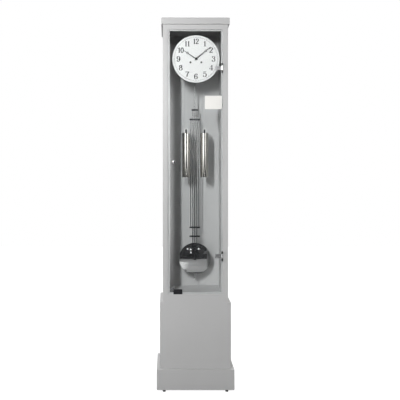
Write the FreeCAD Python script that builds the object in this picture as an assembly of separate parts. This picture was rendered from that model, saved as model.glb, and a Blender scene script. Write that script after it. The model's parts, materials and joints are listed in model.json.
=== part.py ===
import FreeCAD, Part
import math
import os

# A free-standing longcase clock with a glass door, two weights and a gridiron pendulum.
# Millimetres. +Z is up, the front faces -Y, and the origin is under the middle of the case, on the floor.

V = FreeCAD.Vector

# Case, lacquered board
plinth_width = 396.0
plinth_height = 104.5
plinth_board = 16.0
base_top = 453.0
base_cheek_board = 15.0
side_board = 25.0
case_depth = 255.0
back_board = 8.0
front_board = 18.0
rail_board = 20.0
floor_board = 18.0
bottom_board = 18.0
bottom_lift = 18.0
door_sill = 494.0
door_head = 1851.0
rail_height = 26.0
cornice_board = 34.0
cornice_overhang = 8.0
cornice_rounding = 5.0
plinth_chamfer = 1.5
board_rounding = 1.5
stop_width = 10.0
stop_depth = 12.0
stop_gap = 1.5
head_stop_width = 6.0

# Feet
foot_height = 10.0
foot_diameter = 16.0
foot_inset_side = 38.0
foot_inset_front = 12.0

# Glass door and its fittings
glass_thickness = 5.0
glass_gap = 2.0
lower_hinge_rise = 196.0
upper_hinge_drop = 198.0
hinge_inset = 6.0
hinge_stand_off = 4.0
hinge_pin_diameter = 3.0
hinge_barrel_diameter = 7.0
hinge_plate_width = 31.0
hinge_plate_height = 21.5
hinge_plate_thickness = 2.5
hinge_leaf_height = 50.0
hinge_leaf_reach = 8.0
hinge_leaf_thickness = 1.5
hinge_knuckle_gap = 0.3
hinge_stud_diameter = 6.4
hinge_stud_spacing = 12.0
knob_height = 1171.0
knob_inset = 29.0
knob_diameter = 20.0
knob_reach = 15.0
knob_neck_diameter = 9.0
knob_stem_diameter = 5.0
knob_washer_diameter = 12.0
knob_washer_thickness = 1.5
strike_width = 45.0
strike_height = 25.0
strike_sheet = 1.2
strike_inset = 27.5
catch_width = 23.0
catch_height = 23.0
catch_depth = 23.0
catch_inset = 9.0
catch_gap = 0.4

# Movement, placed by the middle of the dial
movement_x = 5.0
dial_below_head = 140.5
plate_width = 130.0
plate_top = 62.0
plate_bottom = 55.0
plate_thickness = 2.5
plate_gap = 46.0
plate_setback = 96.5
pillar_diameter = 8.0
pillar_inset = 9.0
pillar_tenon_diameter = 5.0
arbor_diameter = 2.4
running_gap = 0.05
press_gap = 0.02
seat_gap = 0.3

# Dial and hands
dial_side_margin = 19.0
dial_setback = 50.0
dial_sheet = 1.5
dial_rim_depth = 8.0
dial_centre_hole = 9.0
winding_hole = 11.0
dial_foot_diameter = 6.0
dial_foot_x = 50.0
dial_foot_z = 46.0
hand_sheet = 1.2
minute_hand_margin = 26.0
minute_hand_clearance = 7.0
hour_hand_margin = 45.0
hour_hand_clearance = 4.0
hand_hub_diameter = 12.0
hand_stem_width = 4.6
hand_tip_width = 1.8
hand_ring_diameter = 11.5
hand_ring_hole = 6.0
hand_ring_share = 0.68
hand_nut_diameter = 13.0
hand_nut_depth = 3.5
minute_past = 8.5
hour_past = 10.0

# Motion work
cannon_teeth = 12
minute_wheel_teeth = 36
minute_pinion_teeth = 10
hour_wheel_teeth = 40
motion_distance = 16.8
motion_bearing_degrees = 60.0
motion_wheel_thickness = 2.0
motion_pinion_thickness = 4.0
motion_pinion_overlap = 1.0
motion_plate_clearance = 0.5
motion_stud_diameter = 2.5
cannon_tube_diameter = 4.0
hour_pipe_diameter = 6.0
minute_pinion_length = 6.0

# Drums and the two trains
drum_x = 28.4
drum_drop = 17.5
drum_core_diameter = 40.0
drum_flange_diameter = 48.0
drum_flange = 2.0
drum_length = 26.0
drum_front_clearance = 8.0
drum_arbor_diameter = 5.0
winding_square = 3.4
winding_square_length = 14.0
winding_setback = 6.0
ratchet_diameter = 28.0
ratchet_thickness = 1.2
ratchet_teeth = 24
coil_turns = 6
coil_gap = 0.45
pinion_leaves = 8
great_teeth = 96
centre_teeth = 64
third_teeth = 60
escape_teeth = 30
strike_great_teeth = 84
pin_wheel_pins = 8
wheel_thickness = 1.5
great_wheel_thickness = 2.0
pinion_overrun = 1.0
wheel_rim = 3.0
wheel_hub_diameter = 8.0
wheel_arm_width = 2.6
wheel_arms = 5
third_distance = 19.8
third_bearing_degrees = 136.9
escape_rise = 22.5
escape_wheel_diameter = 28.0
escape_tooth_depth = 3.2
escape_tip_width = 0.35
escape_root_width = 1.6
third_wheel_setback = 3.0
strike_wheel_setback = 4.0
going_wheel_setback = 35.5
pin_wheel_setback = 38.5
centre_wheel_setback = 41.0
escape_wheel_setback = 29.0
pin_arbor_x = 42.0
pin_arbor_rise = 8.6
pin_wheel_diameter = 28.0
pin_circle_diameter = 22.0
pin_diameter = 1.6
pin_length = 4.0

# Anchor, crutch and suspension
anchor_gap = 0.6
anchor_thickness = 2.5
anchor_hub_diameter = 7.0
anchor_arm_width = 3.0
pallet_nose_width = 0.6
pallet_root_width = 3.0
pallet_depth = 3.4
crutch_thickness = 2.0
crutch_width = 8.0
crutch_length = 80.0
crutch_plate_gap = 2.0
crutch_fork_bar = 3.0
crutch_fork_gap = 0.4
cock_width = 24.0
cock_arm_width = 8.0
cock_base_thickness = 3.0
cock_base_height = 12.0
cock_rise = 6.0
cock_chop_length = 12.0
cock_chop_drop = 1.0

# Pendulum
pendulum_setback = 172.0
spring_thickness = 0.25
spring_width = 10.0
spring_length = 14.0
spring_bite = 2.0
hook_block_width = 7.0
hook_block_height = 10.0
leader_diameter = 5.0
rod_diameter = 5.0
rod_pitch = 11.0
rod_count = 5
crossbar_height = 8.5
crossbar_depth = 9.0
crossbar_overhang = 6.5
first_crossbar_drop = 293.0
second_crossbar_drop = 344.5
third_crossbar_rise = 169.0
fourth_crossbar_rise = 121.0
bob_rise = 160.0
bob_diameter = 171.0
bob_thickness = 21.0
bob_rim = 5.0
bob_rod_gap = 0.3
bob_guide_depth = 45.0
bob_guide_spare = 10.0
rating_nut_diameter = 16.0
rating_nut_height = 8.0
rating_nut_edge = 1.0
rod_tail = 17.0

# Weights, pulleys and cables
weight_x = 48.8
weight_setback = 122.0
weight_drop = 615.5
weight_length = 234.0
weight_diameter = 42.0
weight_wall = 1.0
weight_cap = 8.0
weight_cap_lip = 2.0
weight_core_gap = 0.2
weight_core_length = 190.0
pulley_diameter = 25.0
pulley_groove_diameter = 20.0
pulley_thickness = 6.0
pulley_pin_diameter = 3.0
pulley_rise = 17.0
stirrup_sheet = 1.2
stirrup_width = 9.0
stirrup_side_gap = 0.5
stirrup_over_pin = 4.5
stirrup_base = 2.0
stirrup_rod_diameter = 6.0
cable_diameter = 1.4
cable_gap = 0.3
ferrule_diameter = 4.0
ferrule_length = 8.0

# Strike work
bell_x = -12.0
bell_diameter = 60.0
bell_height = 24.0
bell_wall = 2.0
bell_rise = 10.0
bell_stand_width = 8.0
bell_stand_sheet = 2.0
bell_stand_foot = 28.0
bell_bolt_diameter = 4.0
hammer_x = 28.0
hammer_rise = 36.0
hammer_arm_width = 3.0
hammer_arm_thickness = 2.0
hammer_head_diameter = 8.0
hammer_head_length = 10.0
hammer_gap = 1.5
hammer_tail_gap = 1.0
hammer_tail_setback = 35.0
hammer_setback = 22.0

# Bracket that carries the movement on the back panel
bracket_sheet = 3.0
bracket_width = 124.0
bracket_front_setback = 92.0
bracket_back_up = 78.0
bracket_back_down = 20.0
bracket_back_width = 90.0
bracket_gusset = 50.0
bracket_window_width = 24.0
bracket_window_depth = 28.0
bracket_cable_hole = 8.0

# Screws
bracket_screw_diameter = 4.0
bracket_screw_head = 8.0
bracket_screw_head_height = 3.0
bracket_screw_length = 9.0
bracket_screw_spacing_x = 60.0
bracket_screw_spacing_z = 50.0
hinge_screw_diameter = 2.0
hinge_screw_head = 4.0
hinge_screw_head_height = 0.8
hinge_screw_length = 14.0
hinge_screw_spacing = 34.0
bolt_diameter = 4.0
bolt_head_diameter = 8.0
bolt_head_height = 3.0
bolt_length = 10.0

# Tooth outlines: place across the tooth as a share of its pitch, and height as a share of the module
WHEEL_TOOTH_SHARES = ((-0.25, -1.3), (-0.20, 0.0), (-0.06, 0.95), (0.06, 0.95), (0.20, 0.0), (0.25, -1.3))
PINION_LEAF_SHARES = ((-0.15, -1.35), (-0.15, 0.0), (-0.07, 0.55), (0.07, 0.55), (0.15, 0.0), (0.15, -1.35))

# Turned outlines: how far out as a share of the width, and how far along as a share of the length
KNOB_OUTLINE_SHARES = (
    (0.0, 0.0), (0.36, 0.0), (0.36, 0.10), (0.23, 0.22), (0.23, 0.42),
    (0.38, 0.55), (0.50, 0.72), (0.50, 0.84), (0.42, 0.96), (0.0, 1.0),
)
BELL_OUTLINE_SHARES = ((0.55, 1.0), (0.74, 0.94), (0.88, 0.78), (0.95, 0.45), (1.0, 0.0))

# Sizes that follow
plinth_top = foot_height + plinth_height
base_width = plinth_width - 2 * plinth_board
trunk_width = base_width - 2 * base_cheek_board
inner_half = trunk_width / 2 - side_board
movement_z = door_head - dial_below_head
dial_diameter = 2 * (inner_half - dial_side_margin)
minute_hand_length = dial_diameter / 2 - minute_hand_margin
hour_hand_length = dial_diameter / 2 - hour_hand_margin
hinge_heights = (door_sill + lower_hinge_rise, door_head - upper_hinge_drop)
trunk_top = door_head + rail_height
total_depth = case_depth + plinth_board
plinth_front = -total_depth / 2
front = plinth_front + plinth_board
back = total_depth / 2
panel_face = back - back_board
glass_half = inner_half - glass_gap
glass_low = door_sill + glass_gap
glass_high = door_head - glass_gap
stop_face = front + glass_thickness + stop_gap
hinge_x = inner_half - hinge_inset
hinge_y = front - hinge_stand_off
front_plate = front + plate_setback
bay = front_plate + plate_thickness
back_plate = bay + plate_gap
pendulum_y = front + pendulum_setback
weight_y = front + weight_setback
escape_centre = (0.0, escape_rise)
escape_radius = escape_wheel_diameter / 2
anchor_centre = (0.0, escape_rise + escape_radius * math.sqrt(2))
pendulum_z = movement_z + anchor_centre[1]
bob_z = door_sill + bob_rise
crossbar_levels = (
    pendulum_z - first_crossbar_drop, pendulum_z - second_crossbar_drop,
    bob_z + third_crossbar_rise, bob_z + fourth_crossbar_rise,
)
going_centre = (-drum_x, -drum_drop)
strike_centre = (drum_x, -drum_drop)
pin_centre = (pin_arbor_x, pin_arbor_rise)
hammer_centre = (hammer_x, hammer_rise)
third_bearing = math.radians(third_bearing_degrees)
third_centre = (third_distance * math.cos(third_bearing), third_distance * math.sin(third_bearing))
motion_bearing = math.radians(motion_bearing_degrees)
motion_centre = (motion_distance * math.cos(motion_bearing), motion_distance * math.sin(motion_bearing))
cable_drum_radius = drum_core_diameter / 2 + cable_gap + cable_diameter / 2
cable_pulley_radius = pulley_groove_diameter / 2 + cable_gap + cable_diameter / 2
weight_bottom = movement_z - weight_drop
weight_top = weight_bottom + weight_length
pulley_z = weight_top + pulley_rise
shelf_top = movement_z - plate_bottom
shelf_bottom = shelf_top - bracket_sheet


def box(low, high):
    """A block between its lowest and highest corners."""
    return Part.makeBox(high[0] - low[0], high[1] - low[1], high[2] - low[2], V(*low))


def bar(radius, start, end):
    """A round bar from one point to another."""
    line = V(*end) - V(*start)
    return Part.makeCylinder(radius, line.Length, V(*start), line)


def across(centre, radius, y_start, y_end):
    """A round bar along Y at a place given from the middle of the dial."""
    x, z = movement_x + centre[0], movement_z + centre[1]
    return bar(radius, (x, y_start, z), (x, y_end, z))


def joined(solids):
    """Solids that are one piece."""
    return solids[0].multiFuse(list(solids[1:])).removeSplitter() if len(solids) > 1 else solids[0]


def less(solid, cutters):
    """A solid with the cutters taken out of it."""
    return solid.cut(list(cutters))


def plate_of(points, y_start, y_end):
    """A flat piece square to Y, with its outline given from the middle of the dial."""
    corners = [V(movement_x + x, y_start, movement_z + z) for x, z in points]
    face = Part.Face(Part.makePolygon(corners + corners[:1]))
    return face.extrude(V(0, y_end - y_start, 0))


def save(name, solids):
    """One STEP file for a node, which may be a group of separate solids."""
    solids = solids if isinstance(solids, (list, tuple)) else [solids]
    shape = solids[0] if len(solids) == 1 else Part.makeCompound(list(solids))
    shape.exportStep(os.path.join("parts", name + ".step"))
    print(name, len(shape.Solids), "solids", shape.isValid(), round(shape.Volume))


def bearing(start, end):
    """The angle from one centre to another."""
    return math.atan2(end[1] - start[1], end[0] - start[0])


def distance(start, end):
    """How far one centre is from another."""
    return math.hypot(end[0] - start[0], end[1] - start[1])


def meshed_turn(driver, driver_centre, driver_turn, follower, follower_centre):
    """The turn that puts a gap of the follower opposite the driver's tooth."""
    line = bearing(driver_centre, follower_centre)
    return line + math.pi - driver / follower * (driver_turn - line) - math.pi / follower


def toothed(teeth, module, shares, turn, centre, y_start, y_end):
    """A toothed disc."""
    pitch_radius = module * teeth / 2
    pitch_angle = 2 * math.pi / teeth
    points = []
    for tooth in range(teeth):
        for angle_share, height_share in shares:
            angle = turn + (tooth + angle_share) * pitch_angle
            radius = pitch_radius + height_share * module
            points.append((centre[0] + radius * math.cos(angle), centre[1] + radius * math.sin(angle)))
    return plate_of(points, y_start, y_end)


def crossings(root_radius, turn, centre, y_start, y_end):
    """The openings between a wheel's arms."""
    ring = across(centre, root_radius - wheel_rim, y_start, y_end)
    hub = across(centre, wheel_hub_diameter / 2, y_start, y_end)
    arms = []
    for arm in range(wheel_arms):
        angle = turn + arm * 2 * math.pi / wheel_arms
        along, aside = (math.cos(angle), math.sin(angle)), (-math.sin(angle), math.cos(angle))
        corners = []
        for reach, side in ((0, -1), (1, -1), (1, 1), (0, 1)):
            x = centre[0] + reach * root_radius * along[0] + side * wheel_arm_width / 2 * aside[0]
            z = centre[1] + reach * root_radius * along[1] + side * wheel_arm_width / 2 * aside[1]
            corners.append((x, z))
        arms.append(plate_of(corners, y_start, y_end))
    return ring.cut([hub] + arms)


def wheel(teeth, module, turn, centre, y_start, thickness, bore):
    """A crossed-out clock wheel."""
    disc = toothed(teeth, module, WHEEL_TOOTH_SHARES, turn, centre, y_start, y_start + thickness)
    root_radius = module * (teeth / 2 + WHEEL_TOOTH_SHARES[0][1])
    holes = [across(centre, bore, y_start, y_start + thickness)]
    if root_radius - wheel_rim > wheel_hub_diameter:
        holes.append(crossings(root_radius, turn, centre, y_start, y_start + thickness))
    return less(disc, holes)


def pinion(leaves, module, turn, centre, y_start, y_end):
    """A pinion without its arbor."""
    return toothed(leaves, module, PINION_LEAF_SHARES, turn, centre, y_start, y_end)


def module_of(wheel_teeth, pinion_teeth, apart):
    """The module that makes a wheel and pinion mesh at a distance."""
    return 2 * apart / (wheel_teeth + pinion_teeth)


def clock_place(degrees, radius):
    """A point at an angle clockwise from twelve."""
    angle = math.radians(degrees)
    return radius * math.sin(angle), radius * math.cos(angle)


def cable_line(side):
    """Where a cable leaves its drum and meets its pulley, on the outer side of both."""
    drum = (side * drum_x, -drum_drop)
    pulley = (side * weight_x, pulley_z - movement_z)
    apart = distance(drum, pulley)
    lean = math.asin((cable_drum_radius - cable_pulley_radius) / apart)
    normal = bearing(drum, pulley) + side * (math.pi / 2 - lean)
    out = (math.cos(normal), math.sin(normal))
    leaves = (drum[0] + cable_drum_radius * out[0], drum[1] + cable_drum_radius * out[1])
    meets = (pulley[0] + cable_pulley_radius * out[0], pulley[1] + cable_pulley_radius * out[1])
    return leaves, meets


def shelf_crossing(side):
    """How far out the cable passes the bracket's shelf."""
    leaves, meets = cable_line(side)
    share = (leaves[1] + plate_bottom) / (leaves[1] - meets[1])
    return leaves[0] + share * (meets[0] - leaves[0])


def make_case():
    """The boards of the case, each with its own outline."""
    half = trunk_width / 2
    cornice = box(
        (-half - cornice_overhang, front - cornice_overhang, trunk_top),
        (half + cornice_overhang, back, trunk_top + cornice_board),
    )
    top_edges = [
        e for e in cornice.Edges
        if abs(e.BoundBox.ZMin - cornice.BoundBox.ZMax) < press_gap and e.BoundBox.YMin < back - press_gap
    ]
    save("cornice_board", cornice.makeFillet(cornice_rounding, top_edges))
    save("top_rail", box((-inner_half, front, door_head), (inner_half, front + rail_board, trunk_top)))
    save("side_panel_left", side_panel(-half, -inner_half, -half))
    save("side_panel_right", less(side_panel(inner_half, half, half), hinge_screw_holes()))
    back_panel = box((-inner_half, panel_face, foot_height), (inner_half, back, trunk_top))
    save("back_panel", less(back_panel, [bar(bracket_screw_diameter / 2, (x, panel_face, z), (x, back, z))
                                         for x, z in bracket_screw_places()]))
    save("lower_front_panel",
         box((-inner_half, front, foot_height), (inner_half, front + front_board, door_sill)))
    behind = front + front_board
    save("trunk_floor",
         box((-inner_half, behind, door_sill - floor_board), (inner_half, panel_face, door_sill)))
    bottom_z = foot_height + bottom_lift
    save("case_bottom",
         box((-inner_half, behind, bottom_z), (inner_half, panel_face, bottom_z + bottom_board)))
    save("base_cheeks", [
        base_cheek(-base_width / 2, -half, -base_width / 2),
        base_cheek(half, base_width / 2, base_width / 2),
    ])
    outer = plinth_width / 2
    front_skirt = box((-outer, plinth_front, foot_height), (outer, front, plinth_top))
    skirt_edge = [
        e for e in front_skirt.Edges
        if abs(e.BoundBox.ZMin - plinth_top) < press_gap and abs(e.BoundBox.YMax - plinth_front) < press_gap
    ]
    save("plinth_skirting", [
        front_skirt.makeChamfer(plinth_chamfer, skirt_edge),
        box((-outer, front, foot_height), (-base_width / 2, back, plinth_top)),
        box((base_width / 2, front, foot_height), (outer, back, plinth_top)),
    ])
    inside = inner_half - stop_width
    stop_back = stop_face + stop_depth
    save("glass_stops", [
        box((-inner_half, stop_face, door_sill), (-inside, stop_back, door_head)),
        box((inside, stop_face, door_sill), (inner_half, stop_back, door_head)),
        box((-inside, stop_face, door_sill), (inside, stop_back, door_sill + stop_width)),
        box((-inside, stop_face, door_head - head_stop_width), (inside, stop_back, door_head)),
    ])
    foot_x = outer - foot_inset_side
    save("feet", [
        bar(foot_diameter / 2, (x, y, 0), (x, y, foot_height))
        for x in (-foot_x, foot_x)
        for y in (plinth_front + foot_inset_front, back - foot_inset_front)
    ])


def side_panel(left, right, outer_face):
    """A tall side board, with its outer front edge eased above the base."""
    above = box((left, front, base_top), (right, back, trunk_top))
    eased = [
        e for e in above.Edges
        if abs(e.BoundBox.XMin - outer_face) < press_gap and abs(e.BoundBox.XMax - outer_face) < press_gap
        and abs(e.BoundBox.YMax - front) < press_gap
    ]
    below = box((left, front, foot_height), (right, back, base_top))
    return joined([above.makeFillet(board_rounding, eased), below])


def base_cheek(left, right, outer_face):
    """A short board beside the trunk, with its outer front and upper edges eased."""
    cheek = box((left, front, foot_height), (right, back, base_top))
    eased = [
        e for e in cheek.Edges
        if abs(e.BoundBox.XMin - outer_face) < press_gap and abs(e.BoundBox.XMax - outer_face) < press_gap
        and (abs(e.BoundBox.YMax - front) < press_gap or abs(e.BoundBox.ZMin - base_top) < press_gap)
    ]
    return cheek.makeFillet(board_rounding, eased)


def hinge_stud_places(level):
    """Where a hinge plate's studs go through the glass."""
    middle = hinge_x - hinge_barrel_diameter / 2 - hinge_plate_width / 2
    return [(middle - hinge_stud_spacing / 2, level), (middle + hinge_stud_spacing / 2, level)]


def knob_place():
    """The middle of the knob."""
    return -glass_half + knob_inset, knob_height


def make_door():
    """The glass pane and what is fixed to it."""
    rear = front + glass_thickness
    pane = box((-glass_half, front, glass_low), (glass_half, rear, glass_high))
    holes = [
        bar(hinge_stud_diameter / 2 + running_gap, (x, front, z), (x, rear, z))
        for level in hinge_heights for x, z in hinge_stud_places(level)
    ]
    knob_x, knob_z = knob_place()
    holes.append(bar(knob_stem_diameter / 2 + running_gap, (knob_x, front, knob_z), (knob_x, rear, knob_z)))
    save("door_glass", less(pane, holes))

    clamps = []
    plate_end = hinge_x - hinge_barrel_diameter / 2
    rear_end = inner_half - stop_width - seat_gap
    for level in hinge_heights:
        low, high = level - hinge_plate_height / 2, level + hinge_plate_height / 2
        plate_start = plate_end - hinge_plate_width
        plate = box((plate_start, front - hinge_plate_thickness, low), (hinge_x, front, high))
        barrel = bar(hinge_barrel_diameter / 2, (hinge_x, hinge_y, low), (hinge_x, hinge_y, high))
        bore = bar(hinge_pin_diameter / 2 + running_gap, (hinge_x, hinge_y, low), (hinge_x, hinge_y, high))
        clamps.append(less(joined([plate, barrel]), [bore]))
        rear_plate = box(
            (plate_end - hinge_plate_width, rear, low), (rear_end, rear + hinge_plate_thickness, high)
        )
        studs = [bar(hinge_stud_diameter / 2, (x, front, z), (x, rear, z))
                 for x, z in hinge_stud_places(level)]
        clamps.append(joined([rear_plate] + studs))
    save("hinge_clamps", clamps)

    points = [V(knob_x + out * knob_diameter, front - along * knob_reach, knob_z)
              for out, along in KNOB_OUTLINE_SHARES]
    turned = Part.Face(Part.makePolygon(points + points[:1]))
    turned = turned.revolve(V(knob_x, front, knob_z), V(0, 1, 0), 360)
    stem_end = rear + knob_washer_thickness
    stem = bar(knob_stem_diameter / 2, (knob_x, front - running_gap, knob_z), (knob_x, stem_end, knob_z))
    washer = bar(knob_washer_diameter / 2, (knob_x, rear, knob_z), (knob_x, stem_end, knob_z))
    washer_hole = knob_stem_diameter / 2 + press_gap
    washer = less(washer, [bar(washer_hole, (knob_x, rear, knob_z), (knob_x, stem_end, knob_z))])
    save("door_knob", [joined([turned, stem]), washer])

    left = -glass_half + strike_inset
    low, high = glass_low - strike_sheet, glass_low - strike_sheet + strike_height
    clip = box((left, front - strike_sheet, low), (left + strike_width, rear + strike_sheet, high))
    save("strike_clip", less(clip, [box((left, front, glass_low), (left + strike_width, rear, high))]))


def make_door_frame_side():
    """The hinge leaves and the magnet catch, which stay on the case."""
    leaves = []
    reach = inner_half + hinge_leaf_reach
    for level in hinge_heights:
        low, high = level - hinge_leaf_height / 2, level + hinge_leaf_height / 2
        leaf = box((inner_half, front - hinge_leaf_thickness, low), (reach, front, high))
        parts = [leaf]
        inner = hinge_plate_height / 2 + hinge_knuckle_gap
        for start, end in ((low, level - inner), (level + inner, high)):
            parts.append(bar(hinge_barrel_diameter / 2, (hinge_x, hinge_y, start), (hinge_x, hinge_y, end)))
            arm_front = front - hinge_stand_off - hinge_leaf_thickness / 2
            parts.append(box((hinge_x, arm_front, start), (reach, arm_front + hinge_leaf_thickness, end)))
            parts.append(box((inner_half, arm_front, start), (reach, front - hinge_leaf_thickness, end)))
        whole = joined(parts)
        drill = [bar(hinge_pin_diameter / 2 + press_gap, (hinge_x, hinge_y, low), (hinge_x, hinge_y, high))]
        drill += hinge_screw_holes()
        leaves.append(less(whole, drill))
        leaves.append(bar(hinge_pin_diameter / 2, (hinge_x, hinge_y, low), (hinge_x, hinge_y, high)))
    save("hinge_leaves", leaves)

    left = -inner_half + stop_width + catch_gap
    start = stop_face
    save("magnet_catch", box(
        (left, start, door_sill + stop_width),
        (left + catch_width, start + catch_depth, door_sill + stop_width + catch_height),
    ))


def bracket_screw_places():
    """The bracket's four screws into the back panel."""
    middle = shelf_top + (bracket_back_up - bracket_back_down) / 2
    return [
        (movement_x + sx * bracket_screw_spacing_x / 2, middle + sz * bracket_screw_spacing_z / 2)
        for sx in (-1, 1) for sz in (-1, 1)
    ]


def bolt_places():
    """The bolts from the shelf into the lower pillars."""
    x = plate_width / 2 - pillar_inset
    return [(movement_x - x, bay + plate_gap / 2), (movement_x + x, bay + plate_gap / 2)]


def make_bracket():
    """The steel bracket that carries the movement."""
    shelf = box(
        (movement_x - bracket_width / 2, front + bracket_front_setback, shelf_bottom),
        (movement_x + bracket_width / 2, panel_face, shelf_top),
    )
    upright = box(
        (movement_x - bracket_back_width / 2, panel_face - bracket_sheet, shelf_top - bracket_back_down),
        (movement_x + bracket_back_width / 2, panel_face, shelf_top + bracket_back_up),
    )
    parts = [shelf, upright]
    for side in (-1, 1):
        x = movement_x + side * (bracket_back_width / 2 - bracket_sheet / 2) - bracket_sheet / 2
        corner = panel_face - bracket_sheet
        corners = [
            V(x, corner, shelf_top), V(x, corner - bracket_gusset, shelf_top),
            V(x, corner, shelf_top + bracket_gusset),
        ]
        gusset = Part.Face(Part.makePolygon(corners + corners[:1]))
        parts.append(gusset.extrude(V(bracket_sheet, 0, 0)))
    window = box(
        (movement_x - bracket_window_width / 2, pendulum_y - bracket_window_depth / 2, shelf_bottom),
        (movement_x + bracket_window_width / 2, pendulum_y + bracket_window_depth / 2, shelf_top),
    )
    cutters = [window]
    for side in (-1, 1):
        x = movement_x + shelf_crossing(side)
        cutters.append(bar(bracket_cable_hole / 2, (x, weight_y, shelf_bottom), (x, weight_y, shelf_top)))
    for x, z in bracket_screw_places():
        start = (x, panel_face - bracket_sheet, z)
        cutters.append(bar(bracket_screw_diameter / 2, start, (x, panel_face, z)))
    for x, y in bolt_places():
        cutters.append(bar(bolt_diameter / 2, (x, y, shelf_bottom), (x, y, shelf_top)))
    save("movement_bracket", less(joined(parts), cutters))


def make_screws():
    """Screws of the bracket and hinges, and the movement's bolts."""
    screws = []
    face = panel_face - bracket_sheet
    for x, z in bracket_screw_places():
        head = bar(bracket_screw_head / 2, (x, face - bracket_screw_head_height, z), (x, face, z))
        shank = bar(bracket_screw_diameter / 2 - press_gap, (x, face, z), (x, face + bracket_screw_length, z))
        screws.append(joined([head, shank]))
    screws += [hinge_screw(x, z) for x, z in hinge_screw_places()]
    for x, y in bolt_places():
        head = bar(bolt_head_diameter / 2, (x, y, shelf_bottom - bolt_head_height), (x, y, shelf_bottom))
        shank = bar(bolt_diameter / 2 - press_gap, (x, y, shelf_bottom), (x, y, shelf_bottom + bolt_length))
        screws.append(joined([head, shank]))
    save("screws", screws)


def hinge_screw_places():
    """The two screws of each hinge leaf."""
    x = inner_half + hinge_leaf_reach / 2
    return [
        (x, level + side * hinge_screw_spacing / 2) for level in hinge_heights for side in (-1, 1)
    ]


def hinge_screw_holes():
    """The holes that the hinge screws stand in."""
    start = front - hinge_stand_off - hinge_leaf_thickness / 2
    radius = hinge_screw_diameter / 2 + press_gap
    return [bar(radius, (x, start, z), (x, start + hinge_screw_length, z)) for x, z in hinge_screw_places()]


def hinge_screw(x, z):
    """A pan-head screw on a hinge leaf."""
    face = front - hinge_stand_off - hinge_leaf_thickness / 2
    head = bar(hinge_screw_head / 2, (x, face - hinge_screw_head_height, z), (x, face, z))
    shank = bar(hinge_screw_diameter / 2, (x, face, z), (x, face + hinge_screw_length, z))
    return joined([head, shank])


def plate_blank(y_start, y_end, arbors):
    """A movement plate with its arbor and pillar holes."""
    low = (movement_x - plate_width / 2, y_start, movement_z - plate_bottom)
    high = (movement_x + plate_width / 2, y_end, movement_z + plate_top)
    holes = [across(place, size / 2 + running_gap, y_start, y_end) for place, size in arbors]
    tenon_hole = pillar_tenon_diameter / 2 + press_gap
    holes += [across(place, tenon_hole, y_start, y_end) for place in pillar_places()]
    return less(box(low, high), holes)


def pillar_places():
    """The four pillars between the plates."""
    x = plate_width / 2 - pillar_inset
    return [(sx * x, z) for sx in (-1, 1) for z in (plate_top - pillar_inset, -plate_bottom + pillar_inset)]


def make_plates():
    """Both plates, the pillars, the suspension cock and the bell."""
    thin = [(place, arbor_diameter) for place in
            ((0.0, 0.0), third_centre, escape_centre, anchor_centre, pin_centre, hammer_centre)]
    arbors = thin + [(place, drum_arbor_diameter) for place in (going_centre, strike_centre)]
    stud_end = minute_pinion_start() - motion_pinion_overlap
    stud = across(motion_centre, motion_stud_diameter / 2, stud_end, front_plate)
    save("movement_front_plate", joined([plate_blank(front_plate, bay, arbors), stud]))
    save("movement_back_plate", plate_blank(back_plate, back_plate + plate_thickness, arbors))

    pillars = []
    for place in pillar_places():
        body = across(place, pillar_diameter / 2, bay, back_plate)
        tenon = across(place, pillar_tenon_diameter / 2, front_plate, back_plate + plate_thickness)
        pillar = joined([body, tenon])
        if place[1] < 0:
            x, y = movement_x + place[0], bay + plate_gap / 2
            thread_end = (x, y, shelf_bottom + bolt_length)
            pillar = less(pillar, [bar(bolt_diameter / 2, (x, y, shelf_bottom), thread_end)])
        pillars.append(pillar)
    save("movement_pillars", pillars)

    rear = back_plate + plate_thickness
    low_z = pendulum_z + cock_rise
    high_z = low_z + cock_base_height
    chop_end = pendulum_y + cock_chop_length / 2
    base_end = rear + cock_base_thickness
    base = box((movement_x - cock_width / 2, rear, low_z), (movement_x + cock_width / 2, base_end, high_z))
    arm = box(
        (movement_x - cock_arm_width / 2, rear, low_z + cock_base_thickness),
        (movement_x + cock_arm_width / 2, chop_end, high_z),
    )
    chop = box(
        (movement_x - cock_arm_width / 2, chop_end - cock_chop_length, pendulum_z + cock_chop_drop),
        (movement_x + cock_arm_width / 2, chop_end, high_z),
    )
    save("suspension_cock", joined([base, arm, chop]))


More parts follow.
